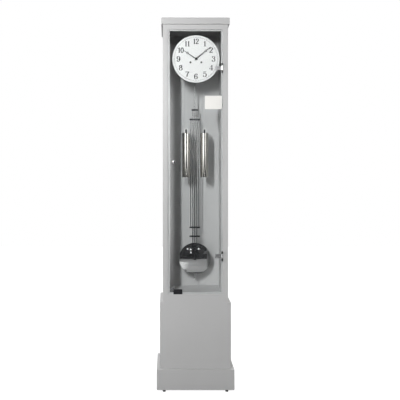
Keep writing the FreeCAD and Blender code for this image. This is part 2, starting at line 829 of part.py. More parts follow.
def make_bell():
    """The bell on its stand, with the nut on top."""
    x, y = movement_x + bell_x, bay + plate_gap / 2
    low = movement_z + plate_top + bell_rise
    radius = bell_diameter / 2
    inner_radius, inner_height = radius - bell_wall, bell_height - bell_wall
    profile = [(bell_bolt_diameter / 2, bell_height)]
    profile += [(out * radius, up * bell_height) for out, up in BELL_OUTLINE_SHARES]
    profile += [(out * inner_radius, up * inner_height) for out, up in reversed(BELL_OUTLINE_SHARES)]
    profile += [(bell_bolt_diameter / 2, inner_height)]
    points = [V(x + out, y, low + up) for out, up in profile]
    bell = Part.Face(Part.makePolygon(points + points[:1])).revolve(V(x, y, low), V(0, 0, 1), 360)

    strip_half = bell_stand_width / 2
    arm_top = movement_z + plate_top + bell_stand_sheet * 2
    upright = box(
        (x - strip_half, back_plate - bell_stand_sheet, movement_z + plate_top - bell_stand_foot),
        (x + strip_half, back_plate, arm_top),
    )
    arm_low = arm_top - bell_stand_sheet
    arm = box((x - strip_half, y - strip_half, arm_low), (x + strip_half, back_plate, arm_top))
    under_crown = low + bell_height - bell_wall
    post = bar(bell_bolt_diameter, (x, y, arm_top), (x, y, under_crown))
    nut_low = low + bell_height
    stem = bar(bell_bolt_diameter / 2, (x, y, under_crown), (x, y, nut_low + bell_stand_sheet))
    stand = joined([upright, arm, post, stem])
    nut = bar(bell_bolt_diameter, (x, y, nut_low), (x, y, nut_low + bell_bolt_diameter))
    nut = less(nut, [bar(bell_bolt_diameter / 2, (x, y, nut_low), (x, y, nut_low + bell_stand_sheet))])
    save("bell", [bell, stand, nut])


def make_dial():
    """The dial with its turned-back rim and four feet."""
    face = front + dial_setback
    radius = dial_diameter / 2
    disc = across((0, 0), radius, face, face + dial_sheet)
    rim = across((0, 0), radius, face, face + dial_rim_depth)
    rim = less(rim, [across((0, 0), radius - dial_sheet, face, face + dial_rim_depth)])
    feet = [
        across((x, z), dial_foot_diameter / 2, face + dial_sheet, front_plate)
        for x in (-dial_foot_x, dial_foot_x) for z in (-dial_foot_z, dial_foot_z)
    ]
    holes = [across((0, 0), dial_centre_hole / 2, face, face + dial_sheet)]
    holes += [across(place, winding_hole / 2, face, face + dial_sheet)
              for place in (going_centre, strike_centre)]
    save("dial_plate", less(joined([disc, rim] + feet), holes))


def hand(degrees, length, y_start, bore):
    """A slender hand with a ring towards its tip."""
    angle = math.radians(90 - degrees)
    along, aside = (math.cos(angle), math.sin(angle)), (-math.sin(angle), math.cos(angle))
    y_end = y_start + hand_sheet

    def place(reach, side):
        return reach * along[0] + side * aside[0], reach * along[1] + side * aside[1]

    ring_at = hand_ring_share * length
    outline = (
        (0, -hand_stem_width / 2), (ring_at, -hand_stem_width / 3), (length, -hand_tip_width / 2),
        (length, hand_tip_width / 2), (ring_at, hand_stem_width / 3), (0, hand_stem_width / 2),
    )
    parts = [
        plate_of([place(*point) for point in outline], y_start, y_end),
        across((0, 0), hand_hub_diameter / 2, y_start, y_end),
        across(place(ring_at, 0), hand_ring_diameter / 2, y_start, y_end),
    ]
    holes = [
        across((0, 0), bore, y_start, y_end),
        across(place(ring_at, 0), hand_ring_hole / 2, y_start, y_end),
    ]
    return less(joined(parts), holes)


def cannon_start():
    """The front of the cannon pinion's leaves."""
    return front_plate - motion_plate_clearance - motion_pinion_thickness


def minute_pinion_start():
    """The front of the minute wheel's pinion."""
    return cannon_start() + motion_pinion_overlap - minute_pinion_length


def make_motion_work():
    """The hands and the wheels behind the dial that gear them together."""
    dial_face = front + dial_setback
    minute_hand_y = dial_face - minute_hand_clearance - hand_sheet / 2
    hour_hand_y = dial_face - hour_hand_clearance - hand_sheet / 2
    minute_angle = 6 * minute_past
    hour_angle = 30 * hour_past + minute_past / 2
    save("minute_hand",
         hand(minute_angle, minute_hand_length, minute_hand_y, cannon_tube_diameter / 2 + press_gap))
    save("hour_hand",
         hand(hour_angle, hour_hand_length, hour_hand_y, hour_pipe_diameter / 2 + press_gap))
    nut = across((0, 0), hand_nut_diameter / 2, minute_hand_y - hand_nut_depth, minute_hand_y)
    tube_start = minute_hand_y - hand_nut_depth / 2
    nut_bore = across((0, 0), cannon_tube_diameter / 2 + press_gap, tube_start, minute_hand_y)
    crown = [e for e in nut.Edges if e.BoundBox.YMax < minute_hand_y - hand_nut_depth + press_gap]
    save("hand_nut", less(nut.makeChamfer(hand_nut_depth / 3, crown), [nut_bore]))

    cannon_module = module_of(minute_wheel_teeth, cannon_teeth, motion_distance)
    hour_module = module_of(hour_wheel_teeth, minute_pinion_teeth, motion_distance)
    cannon_end = cannon_start() + motion_pinion_thickness
    cannon_turn = math.pi / 2
    minute_turn = meshed_turn(cannon_teeth, (0, 0), cannon_turn, minute_wheel_teeth, motion_centre)
    hour_turn = meshed_turn(minute_pinion_teeth, motion_centre, minute_turn, hour_wheel_teeth, (0, 0))
    cannon = joined([
        pinion(cannon_teeth, cannon_module, cannon_turn, (0, 0), cannon_start(), cannon_end),
        across((0, 0), cannon_tube_diameter / 2, tube_start, cannon_end),
    ])
    cannon_bore = across((0, 0), arbor_diameter / 2 + running_gap, tube_start, cannon_end)
    save("cannon_pinion", less(cannon, [cannon_bore]))

    wheel_y = cannon_start() + motion_pinion_overlap
    stud_bore = motion_stud_diameter / 2 + running_gap
    minute_wheel = wheel(minute_wheel_teeth, cannon_module, minute_turn, motion_centre, wheel_y,
                         motion_wheel_thickness, stud_bore)
    start = minute_pinion_start()
    minute_leaves = pinion(minute_pinion_teeth, hour_module, minute_turn, motion_centre, start, wheel_y)
    minute_leaves = less(minute_leaves, [across(motion_centre, stud_bore, start, wheel_y)])
    save("minute_wheel", joined([minute_wheel, minute_leaves]))

    hour_y = minute_pinion_start() + motion_pinion_overlap
    hour_end = hour_y + motion_wheel_thickness
    pipe_bore = cannon_tube_diameter / 2 + running_gap
    pipe_start = hour_hand_y - hand_sheet / 2
    pipe = across((0, 0), hour_pipe_diameter / 2, pipe_start, hour_end)
    pipe = less(pipe, [across((0, 0), pipe_bore, pipe_start, hour_end)])
    hour_wheel = wheel(
        hour_wheel_teeth, hour_module, hour_turn, (0, 0), hour_y, motion_wheel_thickness, pipe_bore)
    save("hour_wheel", joined([hour_wheel, pipe]))


def cable_coil(side):
    """The turns of cable wound on a drum."""
    leaves = cable_line(side)[0]
    centre = (side * drum_x, -drum_drop)
    pitch = cable_diameter + coil_gap
    height = coil_turns * pitch
    helix = Part.makeHelix(pitch, height, cable_drum_radius)
    start = V(cable_drum_radius, 0, 0)
    circle = Part.Wire(Part.makeCircle(cable_diameter / 2, start, V(0, 1, 0)))
    coil = Part.Wire(helix.Edges).makePipeShell([circle], True, True)
    coil.rotate(V(0, 0, 0), V(1, 0, 0), 90)
    turn = math.degrees(bearing(centre, leaves))
    coil.rotate(V(0, 0, 0), V(0, 1, 0), -turn)
    coil.translate(V(movement_x + centre[0], weight_y, movement_z + centre[1]))
    print("least gap between turns", round(pitch - cable_diameter, 3))
    return coil


def drum(side, ratchet_start):
    """A cable drum with its arbor, winding square and ratchet."""
    centre = (side * drum_x, -drum_drop)
    start = bay + drum_front_clearance
    end = start + drum_length
    arbor_front = front + dial_setback - winding_setback + winding_square_length
    square_start = front + dial_setback + winding_setback
    parts = [
        across(centre, drum_core_diameter / 2, start, end),
        across(centre, drum_flange_diameter / 2, start, start + drum_flange),
        across(centre, drum_flange_diameter / 2, end - drum_flange, end),
        across(centre, drum_arbor_diameter / 2, front_plate, back_plate + plate_thickness),
        across(centre, drum_arbor_diameter / 2, arbor_front, front_plate),
    ]
    half = winding_square / 2
    corners = [(centre[0] + x * half, centre[1] + z * half) for x, z in ((-1, -1), (1, -1), (1, 1), (-1, 1))]
    parts.append(plate_of(corners, square_start, arbor_front))
    saw = []
    for tooth in range(ratchet_teeth):
        angle = tooth * 2 * math.pi / ratchet_teeth
        for reach in (ratchet_diameter / 2, ratchet_diameter / 2 - ratchet_thickness):
            saw.append((centre[0] + reach * math.cos(angle), centre[1] + reach * math.sin(angle)))
    parts.append(plate_of(saw, ratchet_start, ratchet_start + ratchet_thickness))
    return joined(parts)


def make_going_train():
    """The drum and wheels that drive the hands, and the escape wheel."""
    great_y = bay + going_wheel_setback
    save("going_drum", [drum(-1, bay + drum_front_clearance + drum_length), cable_coil(-1)])
    great_module = module_of(great_teeth, pinion_leaves, distance(going_centre, (0, 0)))
    centre_module = module_of(centre_teeth, pinion_leaves, distance((0, 0), third_centre))
    third_module = module_of(third_teeth, pinion_leaves, distance(third_centre, escape_centre))
    drum_bore = drum_arbor_diameter / 2 + running_gap
    great_turn = 0.0
    centre_turn = meshed_turn(great_teeth, going_centre, great_turn, pinion_leaves, (0, 0))
    third_turn = meshed_turn(centre_teeth, (0, 0), centre_turn, pinion_leaves, third_centre)
    escape_turn = meshed_turn(third_teeth, third_centre, third_turn, pinion_leaves, escape_centre)
    save("going_great_wheel", wheel(great_teeth, great_module, great_turn, going_centre, great_y,
                                    great_wheel_thickness, drum_bore))

    wheel_y = bay + centre_wheel_setback
    rear = back_plate + plate_thickness
    leaves = pinion(pinion_leaves, great_module, centre_turn, (0, 0), great_y - pinion_overrun,
                    great_y + great_wheel_thickness + pinion_overrun)
    arbor_start = front + dial_setback - minute_hand_clearance + hand_sheet
    save("centre_wheel", joined([
        wheel(centre_teeth, centre_module, centre_turn, (0, 0), wheel_y, wheel_thickness, arbor_diameter / 2),
        leaves, across((0, 0), arbor_diameter / 2, arbor_start, rear),
    ]))

    third_y = bay + third_wheel_setback
    leaves = pinion(pinion_leaves, centre_module, third_turn, third_centre, wheel_y - pinion_overrun,
                    wheel_y + wheel_thickness + pinion_overrun)
    save("third_wheel", joined([
        wheel(third_teeth, third_module, third_turn, third_centre, third_y, wheel_thickness, arbor_diameter / 2),
        leaves, across(third_centre, arbor_diameter / 2, front_plate, rear),
    ]))

    escape_y = bay + escape_wheel_setback
    leaves = pinion(pinion_leaves, third_module, escape_turn, escape_centre, third_y - pinion_overrun,
                    third_y + wheel_thickness + pinion_overrun)
    save("escape_wheel", joined([
        escape_disc(escape_y), leaves, across(escape_centre, arbor_diameter / 2, front_plate, rear),
    ]))


def escape_disc(y_start):
    """The thirty pointed teeth, set so that both pallets stand between teeth."""
    pitch = 2 * math.pi / escape_teeth
    root_radius = escape_radius - escape_tooth_depth
    first = math.pi / 4 + pitch / 4
    points = []
    for tooth in range(escape_teeth):
        for radius, across_tooth in ((root_radius, -escape_root_width), (escape_radius, -escape_tip_width),
                                     (escape_radius, escape_tip_width), (root_radius, escape_root_width)):
            angle = first + tooth * pitch + across_tooth / 2 / radius
            points.append((escape_centre[0] + radius * math.cos(angle),
                           escape_centre[1] + radius * math.sin(angle)))
    disc = plate_of(points, y_start, y_start + wheel_thickness)
    return less(disc, [crossings(root_radius, first, escape_centre, y_start, y_start + wheel_thickness)])


def strip(start, end, start_width, end_width, y_start, y_end):
    """A tapering flat bar between two points."""
    line = bearing(start, end) + math.pi / 2
    aside = (math.cos(line), math.sin(line))
    corners = [
        (start[0] + aside[0] * start_width / 2, start[1] + aside[1] * start_width / 2),
        (end[0] + aside[0] * end_width / 2, end[1] + aside[1] * end_width / 2),
        (end[0] - aside[0] * end_width / 2, end[1] - aside[1] * end_width / 2),
        (start[0] - aside[0] * start_width / 2, start[1] - aside[1] * start_width / 2),
    ]
    return plate_of(corners, y_start, y_end)


def make_anchor():
    """The anchor on its arbor, with the crutch that drives the pendulum."""
    y_start = bay + escape_wheel_setback - (anchor_thickness - wheel_thickness) / 2
    y_end = y_start + anchor_thickness
    rear = back_plate + plate_thickness
    crutch_y = rear + crutch_plate_gap
    crutch_end = crutch_y + crutch_thickness
    parts = [
        across(anchor_centre, anchor_hub_diameter / 2, y_start, y_end),
        across(anchor_centre, arbor_diameter / 2, front_plate, crutch_end),
        across(anchor_centre, crutch_width / 2, crutch_y, crutch_end),
    ]
    for side in (-1, 1):
        angle = math.pi / 2 - side * math.pi / 4
        tip = clock_place(90 - math.degrees(angle), escape_radius + anchor_gap)
        root = clock_place(90 - math.degrees(angle), escape_radius + anchor_gap + pallet_depth)
        tip = (escape_centre[0] + tip[0], escape_centre[1] + tip[1])
        root = (escape_centre[0] + root[0], escape_centre[1] + root[1])
        parts.append(strip(anchor_centre, root, anchor_arm_width, anchor_arm_width, y_start, y_end))
        parts.append(strip(tip, root, pallet_nose_width, pallet_root_width, y_start, y_end))
        parts.append(across(root, anchor_arm_width / 2, y_start, y_end))
    foot = anchor_centre[1] - crutch_length
    half = crutch_width / 2
    corners = [(-half, anchor_centre[1]), (-half, foot), (half, foot), (half, anchor_centre[1])]
    arm = plate_of(corners, crutch_y, crutch_end)
    parts.append(arm)
    inner = leader_diameter / 2 + crutch_fork_gap
    for side in (-1, 1):
        low, high = sorted((side * inner, side * (inner + crutch_fork_bar)))
        parts.append(plate_of(
            [(low, foot), (high, foot), (high, foot + crutch_fork_bar), (low, foot + crutch_fork_bar)],
            crutch_y, pendulum_y + crutch_width,
        ))
    save("anchor", joined(parts))


def make_strike_train():
    """The second drum, its wheels and the hammer."""
    great_y = bay + strike_wheel_setback
    save("strike_drum", [drum(1, bay + drum_front_clearance - ratchet_thickness), cable_coil(1)])
    module = module_of(strike_great_teeth, pinion_leaves, distance(strike_centre, pin_centre))
    pin_turn = meshed_turn(strike_great_teeth, strike_centre, 0.0, pinion_leaves, pin_centre)
    drum_bore = drum_arbor_diameter / 2 + running_gap
    save("strike_great_wheel", wheel(strike_great_teeth, module, 0.0, strike_centre, great_y,
                                     great_wheel_thickness, drum_bore))

    wheel_y = bay + pin_wheel_setback
    rear = back_plate + plate_thickness
    wheel_end = wheel_y + great_wheel_thickness
    disc = less(across(pin_centre, pin_wheel_diameter / 2, wheel_y, wheel_end),
                [crossings(pin_circle_diameter / 2 + pin_diameter, 0.0, pin_centre, wheel_y, wheel_end)])
    parts = [disc, across(pin_centre, arbor_diameter / 2, front_plate, rear)]
    parts.append(pinion(pinion_leaves, module, pin_turn, pin_centre, great_y - pinion_overrun,
                        great_y + great_wheel_thickness + pinion_overrun))
    for pin in range(pin_wheel_pins):
        x, z = clock_place(pin * 360 / pin_wheel_pins, pin_circle_diameter / 2)
        place = (pin_centre[0] + x, pin_centre[1] + z)
        parts.append(across(place, pin_diameter / 2, wheel_y - pin_length, wheel_y))
    save("pin_wheel", joined(parts))

    mid = bay + hammer_setback
    rod_y = (mid, mid + hammer_arm_thickness)
    tail_y = (bay + hammer_tail_setback, bay + hammer_tail_setback + hammer_arm_thickness)
    reach = distance(hammer_centre, pin_centre) - pin_circle_diameter / 2 - pin_diameter / 2 - hammer_tail_gap
    line = bearing(hammer_centre, pin_centre)
    tail_tip = (hammer_centre[0] + reach * math.cos(line), hammer_centre[1] + reach * math.sin(line))
    head_z = plate_top + bell_rise + bell_wall
    head_start = bell_x + bell_diameter / 2 + hammer_gap
    y = mid + hammer_arm_thickness / 2
    hub = hammer_arm_width
    save("strike_hammer", joined([
        across(hammer_centre, arbor_diameter / 2, front_plate, rear),
        across(hammer_centre, hub, *rod_y),
        across(hammer_centre, hub, *tail_y),
        strip(hammer_centre, (hammer_centre[0], head_z), hammer_arm_width, hammer_arm_width, *rod_y),
        strip(hammer_centre, tail_tip, hammer_arm_width, pin_diameter, *tail_y),
        bar(hammer_head_diameter / 2, (movement_x + head_start, y, movement_z + head_z),
            (movement_x + head_start + hammer_head_length, y, movement_z + head_z)),
    ]))


def make_weight(side, name):
    """A weight with its pulley, and the cable that carries it."""
    x = movement_x + side * weight_x
    y = weight_y
    radius = weight_diameter / 2
    shell_low, shell_high = weight_bottom + weight_cap_lip, weight_top - weight_cap_lip
    tube = bar(radius, (x, y, shell_low), (x, y, shell_high))
    inside = bar(radius - weight_wall, (x, y, shell_low), (x, y, shell_high))
    save(name + "_weight_shell", less(tube, [inside]))

    rod_radius = stirrup_rod_diameter / 2
    plug = radius - weight_wall - press_gap
    bore = bar(rod_radius + press_gap, (x, y, weight_bottom + weight_cap_lip), (x, y, weight_top))
    lower = joined([
        bar(radius + weight_wall / 2, (x, y, weight_bottom), (x, y, shell_low)),
        bar(plug, (x, y, shell_low), (x, y, weight_bottom + weight_cap)),
    ])
    upper = joined([
        bar(radius + weight_wall / 2, (x, y, shell_high), (x, y, weight_top)),
        bar(plug, (x, y, weight_top - weight_cap), (x, y, shell_high)),
    ])
    save(name + "_weight_caps", [less(lower, [bore]), less(upper, [bore])])
    core_low, core_high = weight_bottom + weight_cap, weight_top - weight_cap
    core = bar(plug, (x, y, core_low), (x, y, core_high))
    save(name + "_weight_core", less(core, [bore]))

    pin_half = pulley_thickness / 2 + stirrup_side_gap + stirrup_sheet
    plates = []
    for face in (-1, 1):
        start, end = sorted((y + face * pin_half, y + face * (pin_half - stirrup_sheet)))
        plates.append(box((x - stirrup_width / 2, start, weight_top), (x + stirrup_width / 2, end, pulley_z)))
        plates.append(bar(stirrup_width / 2, (x, start, pulley_z), (x, end, pulley_z)))
    base = box((x - stirrup_width / 2, y - pin_half, weight_top),
               (x + stirrup_width / 2, y + pin_half, weight_top + stirrup_base))
    rod = bar(rod_radius, (x, y, weight_bottom + weight_cap_lip), (x, y, weight_top + stirrup_base))
    pin = bar(pulley_pin_diameter / 2, (x, y - pin_half, pulley_z), (x, y + pin_half, pulley_z))
    drill = bar(pulley_pin_diameter / 2 + press_gap, (x, y - pin_half, pulley_z), (x, y + pin_half, pulley_z))
    save(name + "_pulley_stirrup", [less(joined(plates + [base, rod]), [drill]), pin])
    save(name + "_pulley", pulley(x, y))
    save(name + "_cable", cable(side))


def pulley(x, y):
    """A grooved pulley with a round groove floor."""
    half = pulley_thickness / 2
    bore = pulley_pin_diameter / 2 + running_gap
    floor = pulley_groove_diameter / 2
    rim = pulley_diameter / 2
    profile = (
        (bore, -half), (rim, -half), (rim, -half + half / 4), (floor, -cable_diameter / 2),
        (floor, cable_diameter / 2), (rim, half - half / 4), (rim, half), (bore, half),
    )
    points = [V(x + r, y + d, pulley_z) for r, d in profile]
    return Part.Face(Part.makePolygon(points + points[:1])).revolve(V(x, y, pulley_z), V(0, 1, 0), 360)


def cable(side):
    """The cable from its drum round the pulley and up to the ferrule under the shelf."""
    leaves, meets = cable_line(side)
    inner_x = side * (weight_x - cable_pulley_radius)
    low = (side * weight_x, pulley_z - movement_z - cable_pulley_radius)

    def place(point):
        return V(movement_x + point[0], weight_y, movement_z + point[1])

    ferrule_end = -plate_bottom - bracket_sheet
    ferrule_start = ferrule_end - ferrule_length
    inner = (inner_x, pulley_z - movement_z)
    path = Part.Wire([
        Part.LineSegment(place(leaves), place(meets)).toShape(),
        Part.Arc(place(meets), place(low), place(inner)).toShape(),
        Part.LineSegment(place(inner), place((inner_x, ferrule_end))).toShape(),
    ])
    circle = Part.Wire(Part.makeCircle(cable_diameter / 2, place(leaves), place(meets) - place(leaves)))
    strand = path.makePipeShell([circle], True, False)
    ferrule = bar(
        ferrule_diameter / 2, tuple(place((inner_x, ferrule_start))), tuple(place((inner_x, ferrule_end))))
    return joined([strand, ferrule])


def make_pendulum():
    """The gridiron pendulum from its suspension spring to the rating nut."""
    x, y = movement_x, pendulum_y
    spring_top = pendulum_z + cock_chop_drop - seat_gap
    spring_low = pendulum_z - spring_length
    spring = box((x - spring_thickness / 2, y - spring_width / 2, spring_low),
                 (x + spring_thickness / 2, y + spring_width / 2, spring_top))
    save("suspension_spring", spring)
    block_high = spring_low + spring_bite
    block_low = block_high - hook_block_height
    block = box((x - hook_block_width / 2, y - cock_chop_length / 2, block_low),
                (x + hook_block_width / 2, y + cock_chop_length / 2, block_high))
    leader = bar(leader_diameter / 2, (x, y, crossbar_levels[0] + crossbar_height / 2), (x, y, block_low))
    save("pendulum_hook", less(joined([block, leader]), [spring]))

    half = crossbar_height / 2
    rod_radius = rod_diameter / 2
    top, second, third, fourth = crossbar_levels
    side_rods = (-rod_pitch, rod_pitch)
    outer_rods = (-2 * rod_pitch, 2 * rod_pitch)
    guide_low = bob_z + bob_diameter / 2 - bob_guide_depth
    rod_end = bob_z - bob_diameter / 2 - rod_tail - rating_nut_height
    rods = [bar(rod_radius, (x, y, rod_end), (x, y, top - half))]
    rods += [bar(rod_radius, (x + dx, y, guide_low), (x + dx, y, top)) for dx in side_rods]
    rods += [bar(rod_radius, (x + dx, y, third), (x + dx, y, second)) for dx in outer_rods]
    save("pendulum_rods", rods)

    bars = []
    deep = crossbar_depth / 2
    reaches = (rod_pitch, 2 * rod_pitch, 2 * rod_pitch, 2 * rod_pitch)
    for level, reach in zip((top, second, third, fourth), reaches):
        width = reach + crossbar_overhang
        bars.append(box((x - width, y - deep, level - half), (x + width, y + deep, level + half)))
    save("pendulum_crossbars", [less(crossbar, rods) for crossbar in bars])

    radius = bob_diameter / 2
    bulge = bob_thickness / 2
    middle = lens_depth(radius / 2)
    front_pole, back_pole = V(x, y - bulge, bob_z), V(x, y + bulge, bob_z)
    front_rim, back_rim = V(x + radius, y - bob_rim / 2, bob_z), V(x + radius, y + bob_rim / 2, bob_z)
    outline = Part.Wire([
        Part.Arc(front_pole, V(x + radius / 2, y - middle, bob_z), front_rim).toShape(),
        Part.LineSegment(front_rim, back_rim).toShape(),
        Part.Arc(back_rim, V(x + radius / 2, y + middle, bob_z), back_pole).toShape(),
        Part.LineSegment(back_pole, front_pole).toShape(),
    ])
    lens = Part.Face(outline).revolve(V(x, y, bob_z), V(0, 1, 0), 360)
    bore = rod_radius + running_gap
    holes = [bar(bore, (x, y, bob_z - radius), (x, y, bob_z + radius))]
    holes += [bar(bore, (x + dx, y, guide_low - bob_guide_spare), (x + dx, y, bob_z + radius))
              for dx in side_rods]
    save("pendulum_bob", less(lens, holes))

    nut_high = bob_z - radius - seat_gap
    nut_low = nut_high - rating_nut_height
    nut = bar(rating_nut_diameter / 2, (x, y, nut_low), (x, y, nut_high))
    nut = less(nut.makeChamfer(rating_nut_edge, nut.Edges[:3:2]), [bar(bore, (x, y, nut_low), (x, y, nut_high))])
    save("rating_nut", nut)


def lens_depth(out):
    """Half the bob's thickness at a distance from its middle."""
    rise = bob_thickness / 2 - bob_rim / 2
    chord = bob_diameter / 2
    sphere = (chord ** 2 + rise ** 2) / (2 * rise)
    return bob_thickness / 2 - (sphere - math.sqrt(sphere ** 2 - out ** 2))


os.makedirs("parts", exist_ok=True)
make_case()
make_door()
make_door_frame_side()
make_bracket()
make_screws()
make_plates()
make_bell()
make_dial()
make_motion_work()
make_going_train()
make_anchor()
make_strike_train()
make_weight(-1, "left")
make_weight(1, "right")
make_pendulum()
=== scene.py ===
"""The looks of a free-standing longcase clock with a glass door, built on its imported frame."""
import json
import logging
import math
from dataclasses import dataclass, field
from enum import Enum

import bpy
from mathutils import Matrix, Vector

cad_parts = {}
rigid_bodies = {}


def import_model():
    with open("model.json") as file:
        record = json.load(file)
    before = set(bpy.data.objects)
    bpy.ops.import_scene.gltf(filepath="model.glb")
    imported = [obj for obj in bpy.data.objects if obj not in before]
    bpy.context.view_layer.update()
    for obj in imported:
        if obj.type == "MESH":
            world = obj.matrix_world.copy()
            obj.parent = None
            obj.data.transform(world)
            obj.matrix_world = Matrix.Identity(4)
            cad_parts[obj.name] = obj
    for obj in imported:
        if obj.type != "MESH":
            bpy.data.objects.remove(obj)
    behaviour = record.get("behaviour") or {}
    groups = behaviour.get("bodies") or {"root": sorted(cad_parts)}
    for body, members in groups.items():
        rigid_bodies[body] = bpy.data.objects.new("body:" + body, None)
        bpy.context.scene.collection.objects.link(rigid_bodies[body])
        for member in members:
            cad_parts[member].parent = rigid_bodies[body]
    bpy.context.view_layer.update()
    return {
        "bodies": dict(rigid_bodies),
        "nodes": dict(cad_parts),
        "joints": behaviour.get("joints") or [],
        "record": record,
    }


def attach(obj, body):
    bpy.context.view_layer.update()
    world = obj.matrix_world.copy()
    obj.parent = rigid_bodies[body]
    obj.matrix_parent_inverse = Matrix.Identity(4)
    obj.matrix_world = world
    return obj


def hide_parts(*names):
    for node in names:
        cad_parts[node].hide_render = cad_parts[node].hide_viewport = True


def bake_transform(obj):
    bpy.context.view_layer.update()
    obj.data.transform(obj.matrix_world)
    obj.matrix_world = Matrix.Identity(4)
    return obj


LOG = logging.getLogger("longcase_clock")
MM = 0.001
# Nearly all of a noise texture's values lie between these two.
NOISE_SPAN = (0.3, 0.7)
DIAL_MIDDLE = (0.005, 1.7105)
WHITE = "#FFFFFF"
Point = tuple[float, float, float]
Flat = tuple[float, float]
Span = tuple[float, float, float, float]
Face = tuple[int, ...]
Tree = bpy.types.NodeTree
Node = bpy.types.Node
Source = bpy.types.Node | bpy.types.NodeSocket


def linear(code: str) -> tuple[float, float, float, float]:
    """Turns an sRGB hex colour to the linear values that Blender's sockets take.

    Args:
        code: The colour as "#RRGGBB".

    Returns:
        Linear red, green and blue, with an alpha of one.
    """
    shares = [int(code[place:place + 2], 16) / 255 for place in (1, 3, 5)]
    red, green, blue = (s / 12.92 if s <= 0.04045 else ((s + 0.055) / 1.055) ** 2.4 for s in shares)
    return red, green, blue, 1.0


def add(tree: Tree, kind: str, settings: dict | None = None, links: dict | None = None) -> Node:
    """Adds a node with its settings and its links.

    Args:
        tree: The node tree that takes it.
        kind: The node's type.
        settings: Values by socket name, socket number or property name.
        links: Nodes, whose first output is meant, or their sockets, by the input that they feed.

    Returns:
        The new node.
    """
    node = tree.nodes.new(kind)
    for name, value in (settings or {}).items():
        if isinstance(name, int) or name in node.inputs:
            node.inputs[name].default_value = value
        else:
            setattr(node, name, value)
    for name, source in (links or {}).items():
        tree.links.new(source.outputs[0] if isinstance(source, Node) else source, node.inputs[name])
    return node


def per_metre(millimetres: float) -> float:
    """The texture scale at which one feature of a pattern measures so many millimetres."""
    return 1 / (millimetres * MM)


def empty_material(name: str) -> tuple[bpy.types.Material, Tree]:
    """A new material without nodes.

    Args:
        name: Its name.

    Returns:
        The material and its node tree.
    """
    material = bpy.data.materials.new(name)
    material.use_nodes = True
    material.node_tree.nodes.clear()
    return material, material.node_tree


class Lay(Enum):
    """Which way a metal's grain runs."""

    ALONG_X = (1.0, 24.0, 24.0)
    ALONG_Z = (24.0, 24.0, 1.0)
    NONE = (1.0, 1.0, 1.0)


class Axis(Enum):
    """A level axis of the clock: X is across and Y is deep."""

    X = "X"
    Y = "Y"


@dataclass(frozen=True)
class Finish:
    """A surface finish, named for the real material."""

    name: str
    colour: str
    roughness: float

    def material(self) -> bpy.types.Material:
        """The finish's material, made once."""
        known = bpy.data.materials.get(self.name)
        return known if known is not None else self.make()

    def make(self) -> bpy.types.Material:
        """Builds the material in the object's own coordinates.

        Returns:
            The new material.
        """
        material, tree = empty_material(self.name)
        place = add(tree, "ShaderNodeTexCoord").outputs["Object"]
        add(tree, "ShaderNodeOutputMaterial", {}, {"Surface": self.shader(tree, place)})
        return material

    def shader(self, tree: Tree, place: Source) -> Node:
        """What the finish does with light, which each kind of finish builds."""
        raise NotImplementedError

    def varied_colour(self, tree: Tree, place: Source, size: float, depth: float) -> Node:
        """A colour that drifts a little to both sides of the finish's own.

        Args:
            tree: The material's node tree.
            place: The coordinates.
            size: The drift's scale in millimetres.
            depth: How far it goes, as a share of the colour.

        Returns:
            What gives the colour.
        """
        noise = add(tree, "ShaderNodeTexNoise", {"Scale": per_metre(size), "Detail": 3.0}, {"Vector": place})
        ramp = add(tree, "ShaderNodeValToRGB", {}, {"Fac": noise})
        red, green, blue, _ = linear(self.colour)
        for element, share, at in zip(ramp.color_ramp.elements, (1 - depth, 1 + depth), NOISE_SPAN):
            element.position = at
            element.color = (min(red * share, 1), min(green * share, 1), min(blue * share, 1), 1)
        return ramp

    def varied_gloss(self, tree: Tree, place: Source, size: float, depth: float) -> Node:
        """A roughness that varies, as handling and cleaning leave it.

        Args:
            tree: The material's node tree.
            place: The coordinates.
            size: The patches' size in millimetres.
            depth: How far the roughness goes to both sides.

        Returns:
            What gives the roughness.
        """
        noise = add(tree, "ShaderNodeTexNoise", {"Scale": per_metre(size), "Detail": 4.0}, {"Vector": place})
        return add(tree, "ShaderNodeMapRange", {
            "From Min": NOISE_SPAN[0], "From Max": NOISE_SPAN[1],
            "To Min": max(self.roughness - depth, 0.01), "To Max": self.roughness + depth,
        }, {"Value": noise})

    def bumps(self, tree: Tree, place: Source, size: float, depth: float, strength: float,
              detail: float = 2.0) -> Node:
        """A surface that a fine relief tilts this way and that.

        Args:
            tree: The material's node tree.
            place: The coordinates.
            size: The relief's scale in millimetres.
            depth: Its depth in metres.
            strength: How much of it shows.
            detail: How many finer layers it has.

        Returns:
            What gives the normal.
        """
        noise = add(tree, "ShaderNodeTexNoise", {"Scale": per_metre(size), "Detail": detail},
                    {"Vector": place})
        return add(tree, "ShaderNodeBump", {"Strength": strength, "Distance": depth}, {"Height": noise})


@dataclass(frozen=True)
class SprayedLacquer(Finish):
    """Satin lacquer sprayed on board."""

    peel_mm: float = 3.0
    peel_depth: float = 0.00004
    peel_strength: float = 0.5
    drift_mm: float = 180.0
    drift: float = 0.018
    gloss_drift: float = 0.03
    ior: float = 1.47

    def shader(self, tree: Tree, place: Source) -> Node:
        """Orange peel from the spray gun breaks up the sheen, and the coats drift a little in tone.

        Args:
            tree: The material's node tree.
            place: The coordinates.

        Returns:
            The shader.
        """
        peel = self.bumps(tree, place, self.peel_mm, self.peel_depth, self.peel_strength, 1.0)
        return add(tree, "ShaderNodeBsdfPrincipled", {"IOR": self.ior}, {
            "Base Color": self.varied_colour(tree, place, self.drift_mm, self.drift),
            "Roughness": self.varied_gloss(tree, place, self.drift_mm / 3, self.gloss_drift),
            "Normal": peel,
        })


